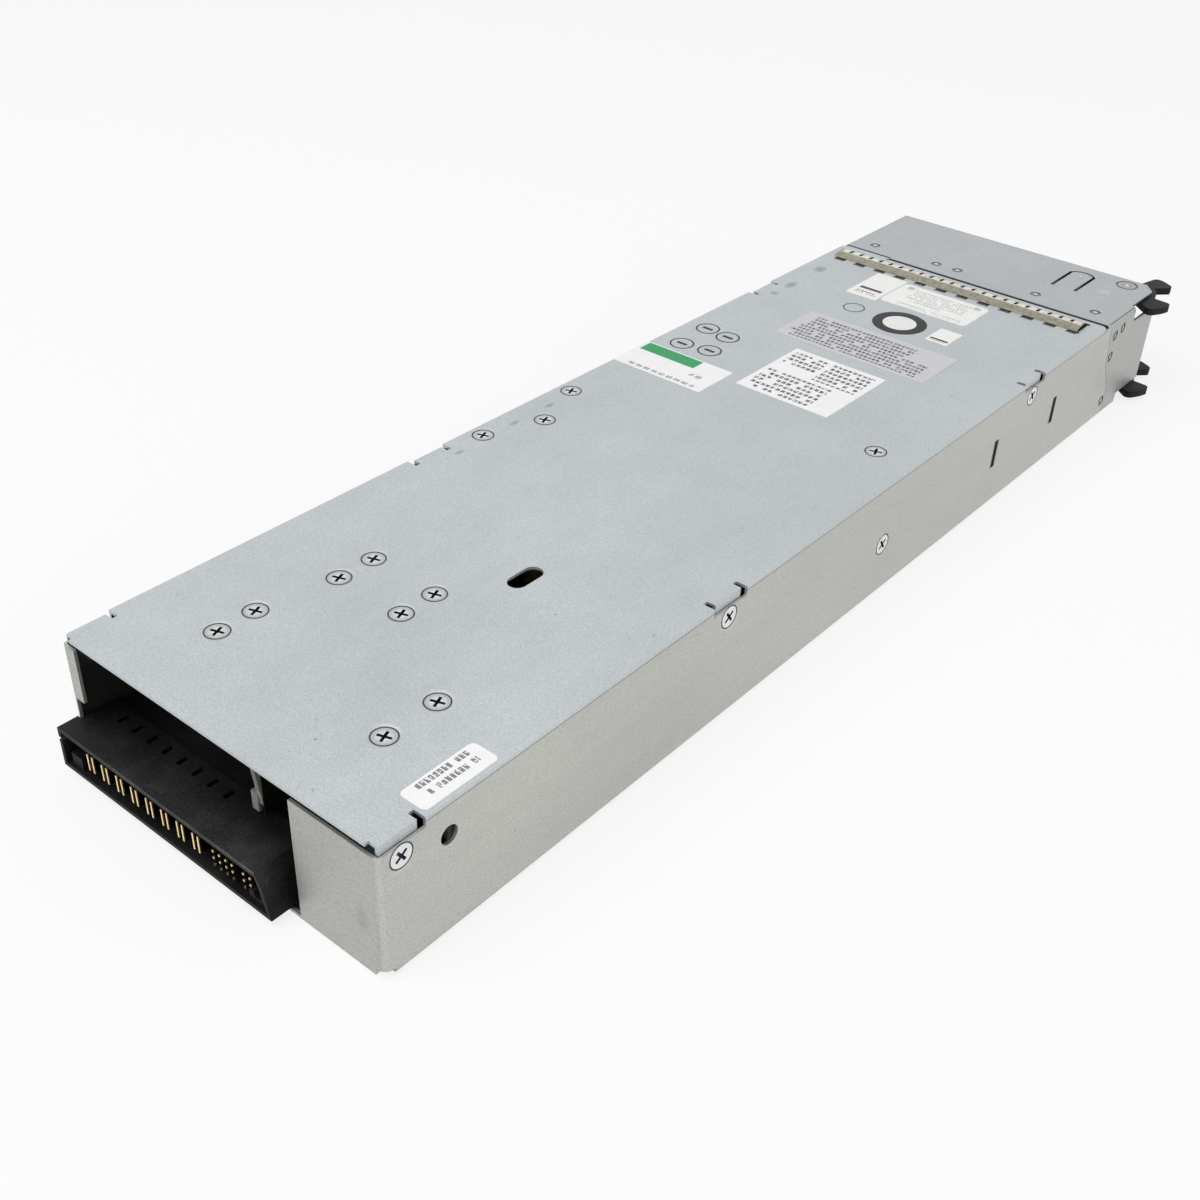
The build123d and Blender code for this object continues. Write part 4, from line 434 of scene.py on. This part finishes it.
# Painted shade in stripes at the slots under the strip's clips.
clips = stripe_mask(tree, clip_middle - clip_width / 2, clip_pitch, clip_width)
painted_clip_shade = join_values(tree, "MULTIPLY", clips, box_mask(tree, *clip_row))
tint(tree, painted_clip_shade, grey(0.16))
dress(["top_cover"], cover_zinc)


# Shielding finger strip: thin tinned spring strip with rows of fingers, clipped into slots
# of the cover, a little yellow beside the zinc. Painted shade darkens its back and front
# slopes, so that its crest stands bright, and the slits between the fingers on the crest.
strip_back = ((-60.0, -156.6, 40.0), (60.0, -149.0, 44.0))
strip_front = ((-60.0, -163.0, 40.0), (60.0, -161.0, 44.0))
strip_crest = ((-60.0, -161.6, 40.0), (60.0, -157.2, 44.0))
finger_pitch = clip_pitch / 2
first_slit = 4.072
slit_width = 1.5

strip_tin = zinc_sheet(
    "strip_tin", (0.42, 0.40, 0.33), (0.74, 0.72, 0.64), (0.94, 0.92, 0.86),
    grain=650.0, dullness=0.24, drawn=(1.0, 1.0, 1.0),
)
tree = strip_tin.node_tree
tree.nodes["Principled BSDF"].inputs["Metallic"].default_value = 0.9
# Painted shade on the back and front slopes of the strip.
tint_box(strip_tin, strip_back, (0.46, 0.45, 0.40))
tint_box(strip_tin, strip_front, (0.62, 0.60, 0.55))
# Painted shade in the slits between the fingers on the crest.
slits = stripe_mask(tree, first_slit - slit_width / 2, finger_pitch, slit_width)
crest_slits = join_values(tree, "MULTIPLY", slits, box_mask(tree, *strip_crest))
tint(tree, crest_slits, (0.28, 0.27, 0.25))
dress(["finger_strip"], strip_tin)


# Screws, rivets, nuts and studs: zinc plated steel with fine dark specks. The cover screws
# have a darker base with a painted highlight in the middle of each head, and painted shade
# in their recesses and on the buried sides of the countersunk heads. The side screws have
# painted shade inside the walls, and the lever's pivot rivet a painted shaded rim round a
# painted highlight.
def plated_metal(name, dark, pale, dullness, metal=0.92, grain=900.0):
    """Plated metal with specks, duller where they are dark."""
    plating, tree, shader = new_finish(name)
    shader.inputs["Metallic"].default_value = metal
    marks = texture_on(tree, "ShaderNodeTexNoise", grain, Detail=4.0, Roughness=0.65)
    colour = ramp_of(tree, marks.outputs["Fac"], ((0.34, dark), (0.60, pale)))
    tree.links.new(colour, shader.inputs["Base Color"])
    wear = ((0.3, grey(dullness + 0.15)), (0.7, grey(dullness)))
    tree.links.new(ramp_of(tree, marks.outputs["Fac"], wear), shader.inputs["Roughness"])
    add_bump(tree, marks.outputs["Fac"], 0.15, 0.0001)
    return plating


cover_screws = (
    (31.6, 188.7), (31.6, 175.9), (27.1, 150.0), (27.1, 136.9), (1.7, 150.4), (1.7, 137.7),
    (-32.6, 170.7), (-32.6, 188.8), (55.4, 62.2), (55.4, 18.1), (47.8, 40.3), (-45.7, -17.6),
)
head_level = 42.3
head_highlight_reach = (3.9, 3.9, 2.0)
below_heads = ((-61.0, -218.0, 30.0), (61.0, 218.0, 42.2))
between_heads = ((-60.2, -218.0, 0.0), (60.2, 218.0, 43.0))
recess_shade = (0.20, 0.20, 0.21)
pivot_place = (-48.1, -210.8, cover_level)
pivot_shade_reach = (3.6, 3.6, 3.0)
pivot_highlight_reach = (1.5, 1.5, 3.0)

screw_zinc = plated_metal(
    "screw_zinc", (0.46, 0.47, 0.475), (0.66, 0.67, 0.675), 0.24, grain=2200.0
)
dress(["tab_nuts", "fan_rivets"], screw_zinc)
dress(["board_screws", "board_standoffs", "fuse_clips", "inlet_pins"], screw_zinc)
cover_screw_zinc = plated_metal(
    "cover_screw_zinc", (0.30, 0.31, 0.315), (0.44, 0.45, 0.455), 0.24, grain=2200.0
)
# Painted highlight in the middle of each cover screw head, and painted shade in the recesses and
# below the heads.
for spot in cover_screws:
    tint_spot(cover_screw_zinc, (*spot, head_level), head_highlight_reach, grey(1.75))
tint_box(cover_screw_zinc, below_heads, recess_shade)
dress(["cover_screws"], cover_screw_zinc)
side_screw_zinc = plated_metal(
    "side_screw_zinc", (0.62, 0.63, 0.63), (0.80, 0.81, 0.81), 0.26, grain=2200.0
)
# Painted shade in the recesses and on what lies inside the walls.
tint_box(side_screw_zinc, between_heads, recess_shade)
dress(["side_screws"], side_screw_zinc)
pivot_steel = plated_metal(
    "pivot_steel", (0.34, 0.35, 0.36), (0.50, 0.51, 0.52), 0.30, grain=2600.0
)
# Painted shade round the pivot rivet and a painted highlight in its middle.
tint_spot(pivot_steel, pivot_place, pivot_shade_reach, grey(0.62))
tint_spot(pivot_steel, pivot_place, pivot_highlight_reach, grey(2.7))
dress(["lever_pivots"], pivot_steel)


# Connector housing, inlet body, fans and lever: black glass filled plastic with the fine
# dull skin that the mould leaves and a little grey dust. The housing's mouth is lightened
# with painted light, and its upper front lip carries a painted highlight.
def moulded_plastic(name, dark, pale, dullness, grain=1400.0, shine=0.5):
    """Moulded plastic with a fine skin and a thin veil of dust."""
    plastic, tree, shader = new_finish(name)
    shader.inputs["Specular IOR Level"].default_value = shine
    skin = texture_on(tree, "ShaderNodeTexNoise", grain, Detail=5.0, Roughness=0.7)
    dust = texture_on(tree, "ShaderNodeTexNoise", 70.0, Detail=4.0, Roughness=0.65)
    body = ramp_of(tree, skin.outputs["Fac"], ((0.35, dark), (0.68, pale)))
    veil = ramp_of(tree, dust.outputs["Fac"], ((0.45, grey(0)), (0.85, grey(0.012))))
    tree.links.new(blend_colours(tree, "ADD", body, veil), shader.inputs["Base Color"])
    wear = ((0.3, grey(dullness)), (0.7, grey(dullness + 0.18)))
    tree.links.new(ramp_of(tree, dust.outputs["Fac"], wear), shader.inputs["Roughness"])
    add_bump(tree, skin.outputs["Fac"], 0.28, 0.0002)
    return plastic


housing_mouth_light = ((0.0, 224.0, 15.0), (70.0, 15.0, 12.0))
housing_lip_highlight = ((-61.0, 223.62, 15.0), (61.0, 224.0, 15.4))

plug_black = moulded_plastic("plug_black", grey(0.003), grey(0.011), 0.48, 1400.0, 0.14)
dress(["inlet_body", "transformer_bobbin"], plug_black)
hood_black_highlit = copy_finish(plug_black, "hood_black_highlit")
# Painted light on the housing's mouth and a painted highlight along its upper front lip.
tint_spot(hood_black_highlit, *housing_mouth_light, grey(3.2))
tint_box(hood_black_highlit, housing_lip_highlight, grey(3.5))
dress(["connector_housing"], hood_black_highlit)
fan_black = moulded_plastic("fan_black", (0.012, 0.012, 0.013), (0.030, 0.030, 0.033), 0.34)
dress(["fan_frame_left", "fan_frame_right", "fan_rotor_left", "fan_rotor_right"], fan_black)
lever_black = moulded_plastic("lever_black", grey(0.003), grey(0.010), 0.44, 1000.0, 0.15)
dress(["ejector_lever"], lever_black)
package_black = moulded_plastic(
    "package_black", (0.018, 0.018, 0.020), (0.040, 0.040, 0.044), 0.45, 1800.0
)
dress(["primary_transistors", "bridge_transistors", "bridge_rectifier"], package_black)
dress(["output_rectifiers", "inrush_relay"], package_black)


# Power blades and signal pins: copper alloy stampings pressed into the housing, gold plated
# and bright at the contact ends, with painted shade where they lie deep in it.
blade_roots = ((-61.0, 190.0, 0.0), (61.0, 222.5, 40.0))
pin_roots = ((-61.0, 190.0, 0.0), (61.0, 221.8, 40.0))

contact_gold = plated_metal("contact_gold", (0.90, 0.64, 0.24), (1.0, 0.82, 0.42), 0.22)
pin_gold = copy_finish(contact_gold, "pin_gold")
# Painted shade over the parts of the blades and pins that lie deep in the housing.
tint_box(contact_gold, blade_roots, (0.012, 0.010, 0.009))
dress(["power_blades"], contact_gold)
tint_box(pin_gold, pin_roots, (0.06, 0.05, 0.042))
dress(["signal_pins"], pin_gold)


# Circuit boards: glass fibre with a green lacquer, copper tracks that show through it as
# slightly raised paler bands, and a fine weave. The control card is pale grey, darkened by
# painted shade but for its end by the connector.
def lacquered_board(name, dark, pale, pitch):
    """Board with square tracks under its lacquer and a weave of glass cloth."""
    board, tree, shader = new_finish(name)
    tracks = texture_on(tree, "ShaderNodeTexVoronoi", pitch, Randomness=0.85)
    tracks.distance = "CHEBYCHEV"
    weave = texture_on(tree, "ShaderNodeTexNoise", 1600.0, Detail=3.0)
    body = ramp_of(tree, tracks.outputs["Distance"], ((0.30, pale), (0.36, dark)))
    cloth = ramp_of(tree, weave.outputs["Fac"], ((0.3, grey(0.85)), (0.7, grey(1.0))))
    tree.links.new(blend_colours(tree, "MULTIPLY", body, cloth), shader.inputs["Base Color"])
    shader.inputs["Roughness"].default_value = 0.34
    shader.inputs["Coat Weight"].default_value = 0.35
    shader.inputs["Coat Roughness"].default_value = 0.2
    add_bump(tree, tracks.outputs["Distance"], 0.2, 0.0002)
    return board


card_inner_end = ((-10.0, 150.0, 0.0), (-5.0, 209.0, 40.0))

board_green = lacquered_board("board_green", (0.012, 0.10, 0.045), (0.03, 0.19, 0.08), 160.0)
dress(["main_board", "lamp_board"], board_green)
card_green = lacquered_board("card_green", (0.24, 0.24, 0.215), (0.36, 0.36, 0.33), 380.0)
card_shader = card_green.node_tree.nodes["Principled BSDF"]
card_shader.inputs["Coat Weight"].default_value = 0.0
card_shader.inputs["Specular IOR Level"].default_value = 0.2
# Painted shade over the card inside the case, all but its end.
tint_box(card_green, card_inner_end, (0.030, 0.042, 0.036))
dress(["control_card"], card_green)


# Small parts of the control card: a pale plug block at its outer end and packages further
# in, soldered to the card and darkened by painted shade.
packages = ((-12.0, 150.0, 0.0), (-4.0, 202.0, 40.0))

block_pale = moulded_plastic("block_pale", (0.20, 0.20, 0.19), (0.36, 0.36, 0.34), 0.35)
# Painted shade over the parts further in.
tint_box(block_pale, packages, (0.06, 0.06, 0.065))
dress(["card_parts"], block_pale)


# Insulating film under the board: thin amber polymer sheet, cut to fit the floor and laid
# between the floor and the board.
film_amber = moulded_plastic("film_amber", (0.42, 0.30, 0.12), (0.52, 0.38, 0.17), 0.20, 300.0)
dress(["insulator_film"], film_amber)


# Heatsinks: extruded aluminium with drawing lines along the bar, and the plain cans of the
# output capacitors, drawn upwards.
def drawn_aluminium(name, dark, pale, stretch):
    """Plated metal with drawing lines along one axis, for aluminium and copper bars."""
    metal = plated_metal(name, dark, pale, 0.30, 0.9)
    tree = metal.node_tree
    lines = texture_on(tree, "ShaderNodeTexNoise", 500.0, stretch=stretch, Detail=3.0)
    add_bump(tree, lines.outputs["Fac"], 0.25, 0.0002)
    return metal


sink_aluminium = drawn_aluminium(
    "sink_aluminium", (0.50, 0.51, 0.52), (0.72, 0.73, 0.74), (1.0, 0.04, 1.0)
)
dress(["primary_heatsink", "bridge_heatsink", "output_heatsinks"], sink_aluminium)
can_aluminium = drawn_aluminium(
    "can_aluminium", (0.58, 0.59, 0.60), (0.78, 0.79, 0.80), (1.0, 1.0, 0.1)
)
dress(["output_capacitors"], can_aluminium)


# Chokes and transformer: grey black ferrite, yellow coated powder rings, brown enamelled
# copper wire and yellow polyester tape.
ferrite_grey = moulded_plastic("ferrite_grey", (0.035, 0.035, 0.038), (0.08, 0.08, 0.085), 0.5)
dress(["line_choke_core", "transformer_core", "resonant_choke"], ferrite_grey)
ring_yellow = moulded_plastic("ring_yellow", (0.50, 0.38, 0.05), (0.66, 0.53, 0.10), 0.4)
dress(["boost_choke_core", "output_choke_core"], ring_yellow)
wire_enamel = plated_metal("wire_enamel", (0.42, 0.15, 0.05), (0.72, 0.33, 0.13), 0.22, 0.75)
dress(["line_choke_winding", "boost_choke_winding", "output_choke_winding"], wire_enamel)
tape_yellow = moulded_plastic("tape_yellow", (0.62, 0.48, 0.08), (0.74, 0.60, 0.14), 0.28)
dress(["transformer_winding"], tape_yellow)


# Capacitors, fuse, surge absorber, leads and lamps: sleeves and dipped lacquers in the plain
# colours such parts have, with no print on them, and the bare copper of the bus bars.
sleeve_blue = moulded_plastic("sleeve_blue", (0.015, 0.025, 0.07), (0.03, 0.05, 0.12), 0.2)
dress(["bulk_capacitors"], sleeve_blue)
box_ochre = moulded_plastic("box_ochre", (0.50, 0.32, 0.05), (0.62, 0.42, 0.09), 0.3)
dress(["line_capacitors", "boost_capacitors"], box_ochre)
disc_blue = moulded_plastic("disc_blue", (0.03, 0.13, 0.36), (0.06, 0.20, 0.46), 0.22)
dress(["safety_capacitors"], disc_blue)
disc_red = moulded_plastic("disc_red", (0.42, 0.06, 0.04), (0.54, 0.10, 0.07), 0.22)
dress(["surge_absorber"], disc_red)
fuse_white = moulded_plastic("fuse_white", (0.66, 0.65, 0.60), (0.78, 0.77, 0.73), 0.25)
dress(["line_fuse"], fuse_white)
bar_copper = drawn_aluminium(
    "bar_copper", (0.60, 0.30, 0.16), (0.82, 0.47, 0.28), (1.0, 0.05, 1.0)
)
dress(["bus_bars"], bar_copper)
lead_red = moulded_plastic("lead_red", (0.30, 0.02, 0.02), (0.42, 0.04, 0.03), 0.3)
dress(["inlet_leads"], lead_red)
lamp_green = moulded_plastic("lamp_green", (0.16, 0.50, 0.12), (0.26, 0.64, 0.20), 0.1)
dress(["status_lights"], lamp_green)


# Labels of the top cover: white and silver grey paper, cut with square or rounded corners and
# stuck down by hand. Rows of short worn dashes stand where a label carries print, and no
# letter or number is written there.
paper_thickness = 0.08
corner_steps = 5


def cut_label(name, low, high, corner, level=cover_level, thick=paper_thickness):
    """Lay a thin sheet between two corners, given in millimetres, and round its corners."""
    middle = ((low[0] + high[0]) / 2000, (low[1] + high[1]) / 2000, level / 1000)
    bpy.ops.object.select_all(action="DESELECT")
    bpy.ops.mesh.primitive_plane_add(size=0.001, location=middle)
    label = bpy.context.object
    label.name = name
    bpy.ops.object.transform_apply(location=True, rotation=True, scale=True)
    bpy.ops.object.mode_set(mode="EDIT")
    bpy.ops.mesh.select_all(action="SELECT")
    bpy.ops.transform.resize(
        value=(high[0] - low[0], high[1] - low[1], 1), center_override=middle
    )
    bpy.ops.mesh.bevel(offset=corner / 1000, segments=corner_steps, affect="VERTICES")
    bpy.ops.mesh.select_all(action="SELECT")
    bpy.ops.mesh.extrude_region_move(TRANSFORM_OT_translate={"value": (0, 0, thick / 1000)})
    bpy.ops.mesh.select_all(action="SELECT")
    bpy.ops.mesh.normals_make_consistent(inside=False)
    bpy.ops.object.mode_set(mode="OBJECT")
    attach(label, "case")
    return label


row_share = 0.60
row_shift = 0.37
dash_share = 0.74
missing_share = 0.14
worn_level = 0.40


def printed_paper(name, paper, ink, pitch, dash, fields, bars=(), along=0):
    """Paper with rows of short worn dashes inside its fields, and bars; in millimetres."""
    sheet, tree, shader = new_finish(name)
    values = place_on_case(tree)
    row = change_value(tree, "MULTIPLY", values[1 - along], 1000 / pitch)
    line = change_value(tree, "FLOOR", row)
    in_row = change_value(tree, "LESS_THAN", change_value(tree, "FRACT", row), row_share)
    column = change_value(tree, "MULTIPLY", values[along], 1000 / dash)
    shift = change_value(tree, "MULTIPLY", line, row_shift)
    shifted = join_values(tree, "ADD", column, shift)
    cell = change_value(tree, "FLOOR", shifted)
    in_cell = change_value(tree, "LESS_THAN", change_value(tree, "FRACT", shifted), dash_share)
    pair = tree.nodes.new("ShaderNodeCombineXYZ")
    tree.links.new(cell, pair.inputs[0])
    tree.links.new(line, pair.inputs[1])
    chance = tree.nodes.new("ShaderNodeTexWhiteNoise")
    tree.links.new(pair.outputs[0], chance.inputs["Vector"])
    kept = change_value(tree, "GREATER_THAN", chance.outputs["Value"], missing_share)
    broken = texture_on(tree, "ShaderNodeTexNoise", 1700.0, Detail=1.0)
    whole = change_value(tree, "GREATER_THAN", broken.outputs["Fac"], worn_level)
    marks = join_values(tree, "MULTIPLY", in_row, in_cell)
    marks = join_values(tree, "MULTIPLY", marks, kept)
    marks = join_values(tree, "MULTIPLY", marks, whole)
    inside = box_mask(tree, *fields[0])
    for field in fields[1:]:
        inside = join_values(tree, "MAXIMUM", inside, box_mask(tree, *field))
    marks = join_values(tree, "MULTIPLY", marks, inside)
    for bar in bars:
        marks = join_values(tree, "MAXIMUM", marks, box_mask(tree, *bar))
    fibre = texture_on(tree, "ShaderNodeTexNoise", 260.0, Detail=4.0, Roughness=0.6)
    paper_shade = tuple(0.95 * value for value in paper)
    thin_ink = tuple(1.5 * value for value in ink)
    plain = ramp_of(tree, fibre.outputs["Fac"], ((0.3, paper_shade), (0.6, paper)))
    inked = ramp_of(tree, broken.outputs["Fac"], ((0.2, ink), (0.9, thin_ink)))
    colour = blend_colours(tree, "MIX", plain, inked)
    tree.links.new(marks, colour.node.inputs["Factor"])
    tree.links.new(colour, shader.inputs["Base Color"])
    shader.inputs["Roughness"].default_value = 0.45
    add_bump(tree, fibre.outputs["Fac"], 0.12, 0.0001)
    return sheet


paper_white = (0.91, 0.91, 0.915)
paper_cream = (0.90, 0.90, 0.885)
paper_silver = (0.60, 0.60, 0.635)
ink_black = (0.025, 0.025, 0.03)
ink_blue_black = (0.06, 0.06, 0.075)
ink_grey = (0.07, 0.07, 0.08)
ink_pale = (0.17, 0.17, 0.18)
ink_faint = grey(0.42)

serial_label = cut_label("serial_label", (-59.0, 176.0), (-50.0, 201.0), 1.6)
serial_label.data.materials.append(printed_paper(
    "serial_paper", paper_white, ink_pale, pitch=3.3, dash=1.45,
    fields=(((-56.4, 179.4), (-50.6, 197.2)),), along=1,
))

ratings_label = cut_label("ratings_label", (-21.0, -65.2), (17.0, -26.2), 0.5)
ratings_label.data.materials.append(printed_paper(
    "ratings_paper", paper_white, ink_grey, pitch=3.0, dash=2.1,
    fields=(
        ((1.0, -62.6), (15.0, -51.0)), ((-18.5, -62.8), (-1.0, -47.0)),
        ((-11.5, -44.6), (15.0, -28.4)),
    ),
))

notes_label = cut_label("notes_label", (-31.8, -98.0), (31.8, -72.0), 0.5)
notes_label.data.materials.append(printed_paper(
    "notes_paper", paper_silver, ink_blue_black, pitch=2.5, dash=1.7,
    fields=(((-17.0, -95.4), (26.5, -85.0)), ((-27.0, -85.4), (29.0, -74.0))),
))

parts_label = cut_label("parts_label", (-18.9, -148.0), (18.9, -126.5), 2.2)
parts_label.data.materials.append(printed_paper(
    "parts_paper", paper_cream, ink_faint, pitch=2.1, dash=1.3,
    fields=(
        ((-13.0, -145.5), (12.0, -135.2)), ((-16.0, -130.0), (12.0, -127.6)),
        ((-5.0, -134.4), (9.0, -132.2)),
    ),
    bars=(((13.4, -146.4), (16.2, -143.6)), ((-16.2, -146.4), (-13.4, -143.6))),
))

bar_label = cut_label("bar_label", (19.4, -149.8), (33.0, -124.0), 0.4)
bar_label.data.materials.append(printed_paper(
    "bar_paper", paper_cream, ink_black, pitch=2.2, dash=1.2,
    fields=(((21.5, -129.4), (31.0, -127.0)),), bars=(((21.4, -133.6), (31.2, -131.6)),),
))

small_label = cut_label("small_label", (-22.5, -119.0), (-13.3, -106.0), 0.4)
small_label.data.materials.append(printed_paper(
    "small_paper", paper_cream, ink_black, pitch=2.2, dash=1.2,
    fields=(((-21.0, -107.6), (-15.0, -107.2)),), bars=(((-21.6, -109.6), (-14.2, -108.2)),),
))


# Inspection label: white paper laid flat up to the case edge, with a plain green band across
# its far side and a few faint pencil dashes.
pencil_grey = (0.30, 0.30, 0.32)
band_thickness = 0.02
band_level = cover_level + paper_thickness

inspection_label = cut_label("inspection_label", (22.2, -32.0), (60.3, -11.3), 0.4)
inspection_label.data.materials.append(printed_paper(
    "inspection_paper", paper_white, pencil_grey, pitch=3.6, dash=3.4,
    fields=(((26.0, -15.4), (56.0, -12.6)), ((25.0, -23.2), (33.0, -19.0))),
))
green_band = cut_label(
    "green_band", (35.0, -31.4), (59.4, -25.0), 0.15, band_level, band_thickness
)
green_print = moulded_plastic(
    "green_print", (0.008, 0.27, 0.085), (0.014, 0.33, 0.11), 0.40, 700.0
)
green_band.data.materials.append(green_print)


# Round marks on the cover: four rings of dark ink, each with a plain dash inside, printed
# on the zinc in two rows.
ink_thickness = 0.03
ring_points = 48
ring_width, ring_inside = 9.2, 8.0
dash_reach = (2.2, 0.7)
first_mark = (51.5, -56.4)
other_marks = ((41.4, -55.2), (50.7, -39.2), (39.5, -41.2))


def ink_ring(name, middle, outer, inner, level=cover_level):
    """Print a flat ring round a point; sizes in millimetres."""
    bpy.ops.object.select_all(action="DESELECT")
    bpy.ops.mesh.primitive_circle_add(
        vertices=ring_points, radius=outer / 2000, fill_type="NGON",
        location=(middle[0] / 1000, middle[1] / 1000, level / 1000),
    )
    ring = bpy.context.object
    ring.name = name
    bpy.ops.object.transform_apply(location=True, rotation=True, scale=True)
    bpy.ops.object.mode_set(mode="EDIT")
    bpy.ops.mesh.select_all(action="SELECT")
    bpy.ops.mesh.inset(thickness=(outer - inner) / 2000, depth=0)
    bpy.ops.mesh.delete(type="ONLY_FACE")
    bpy.ops.mesh.select_all(action="SELECT")
    bpy.ops.mesh.extrude_region_move(
        TRANSFORM_OT_translate={"value": (0, 0, ink_thickness / 1000)}
    )
    bpy.ops.mesh.select_all(action="SELECT")
    bpy.ops.mesh.normals_make_consistent(inside=False)
    bpy.ops.object.mode_set(mode="OBJECT")
    return ring


def copy_to(piece, name, shift):
    """Put a copy with its own mesh beside a piece; the shift is in millimetres."""
    twin = piece.copy()
    twin.data = piece.data.copy()
    twin.name = name
    bpy.context.collection.objects.link(twin)
    bpy.ops.object.select_all(action="DESELECT")
    twin.select_set(True)
    bpy.context.view_layer.objects.active = twin
    twin.location = (shift[0] / 1000, shift[1] / 1000, 0)
    bpy.ops.object.transform_apply(location=True, rotation=True, scale=True)
    return twin


print_ink = moulded_plastic(
    "print_ink", (0.010, 0.010, 0.012), (0.030, 0.030, 0.034), 0.6, 2200.0
)
round_mark = ink_ring("round_mark_1", first_mark, ring_width, ring_inside)
round_mark.data.materials.append(print_ink)
mark_dash = cut_label(
    "mark_dash_1", (first_mark[0] - dash_reach[0], first_mark[1] - dash_reach[1]),
    (first_mark[0] + dash_reach[0], first_mark[1] + dash_reach[1]), 0.2, thick=ink_thickness,
)
mark_dash.data.materials.append(print_ink)
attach(round_mark, "case")
for index, spot in enumerate(other_marks, start=2):
    shift = (spot[0] - first_mark[0], spot[1] - first_mark[1])
    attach(copy_to(round_mark, "round_mark_%d" % index, shift), "case")
    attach(copy_to(mark_dash, "mark_dash_%d" % index, shift), "case")


# Painted shade in the seats round the screw heads: a thin dark ring round each head of the
# cover's screws and of the screws in both walls.
head_width = 6.7
shade_ring_width = 7.5
seat_depth = 0.2
wall_seat = 60.3
side_screws = (
    (-1, 210.0, 36.0), (-1, 83.6, 36.0), (-1, -103.6, 36.0), (-1, -3.6, 19.2),
    (1, 210.0, 36.0), (1, 83.6, 36.0), (1, -103.6, 36.0),
)

# Dark rings of painted shade in the gaps round the screw heads.
painted_seat_shade = moulded_plastic("painted_seat_shade", grey(0.020), grey(0.055), 0.7, 2200.0)
first_ring = ink_ring(
    "seat_ring_1", cover_screws[0], shade_ring_width, head_width, cover_level - seat_depth
)
first_ring.data.materials.append(painted_seat_shade)
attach(first_ring, "case")
for index, spot in enumerate(cover_screws[1:], start=2):
    shift = (spot[0] - cover_screws[0][0], spot[1] - cover_screws[0][1])
    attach(copy_to(first_ring, "seat_ring_%d" % index, shift), "case")

upright_ring = ink_ring("side_ring_pattern", (0.0, 0.0), shade_ring_width, head_width, 0.0)
upright_ring.data.materials.append(painted_seat_shade)
for index, (side, along_case, height) in enumerate(side_screws, start=1):
    ring = copy_to(upright_ring, "side_ring_%d" % index, (0.0, 0.0))
    ring.rotation_euler = (0, side * math.pi / 2, 0)
    ring.location = (side * wall_seat / 1000, along_case / 1000, height / 1000)
    bpy.ops.object.transform_apply(location=True, rotation=True, scale=True)
    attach(ring, "case")
bpy.data.objects.remove(upright_ring)


# Seal and last mark: a round white seal with a broad dark ring round it, on the middle line
# of the cover near its far end, and beside it one more thin ring of ink with nothing inside.
oval_place = (21.7, -112.3)
oval_width, oval_inside = 8.6, 7.7
seal_place = (1.0, -112.0)
seal_width, seal_inside = 21.0, 13.0
seal_centre = 0.4

oval_mark = ink_ring("oval_mark", oval_place, oval_width, oval_inside)
oval_mark.data.materials.append(print_ink)
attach(oval_mark, "case")
seal_ring = ink_ring("seal_ring", seal_place, seal_width, seal_inside)
seal_ring.data.materials.append(print_ink)
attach(seal_ring, "case")
seal_white = ink_ring("seal_white", seal_place, seal_inside, seal_centre)
seal_paper = moulded_plastic("seal_paper", (0.78, 0.78, 0.77), (0.88, 0.88, 0.87), 0.4, 700.0)
seal_white.data.materials.append(seal_paper)
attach(seal_white, "case")
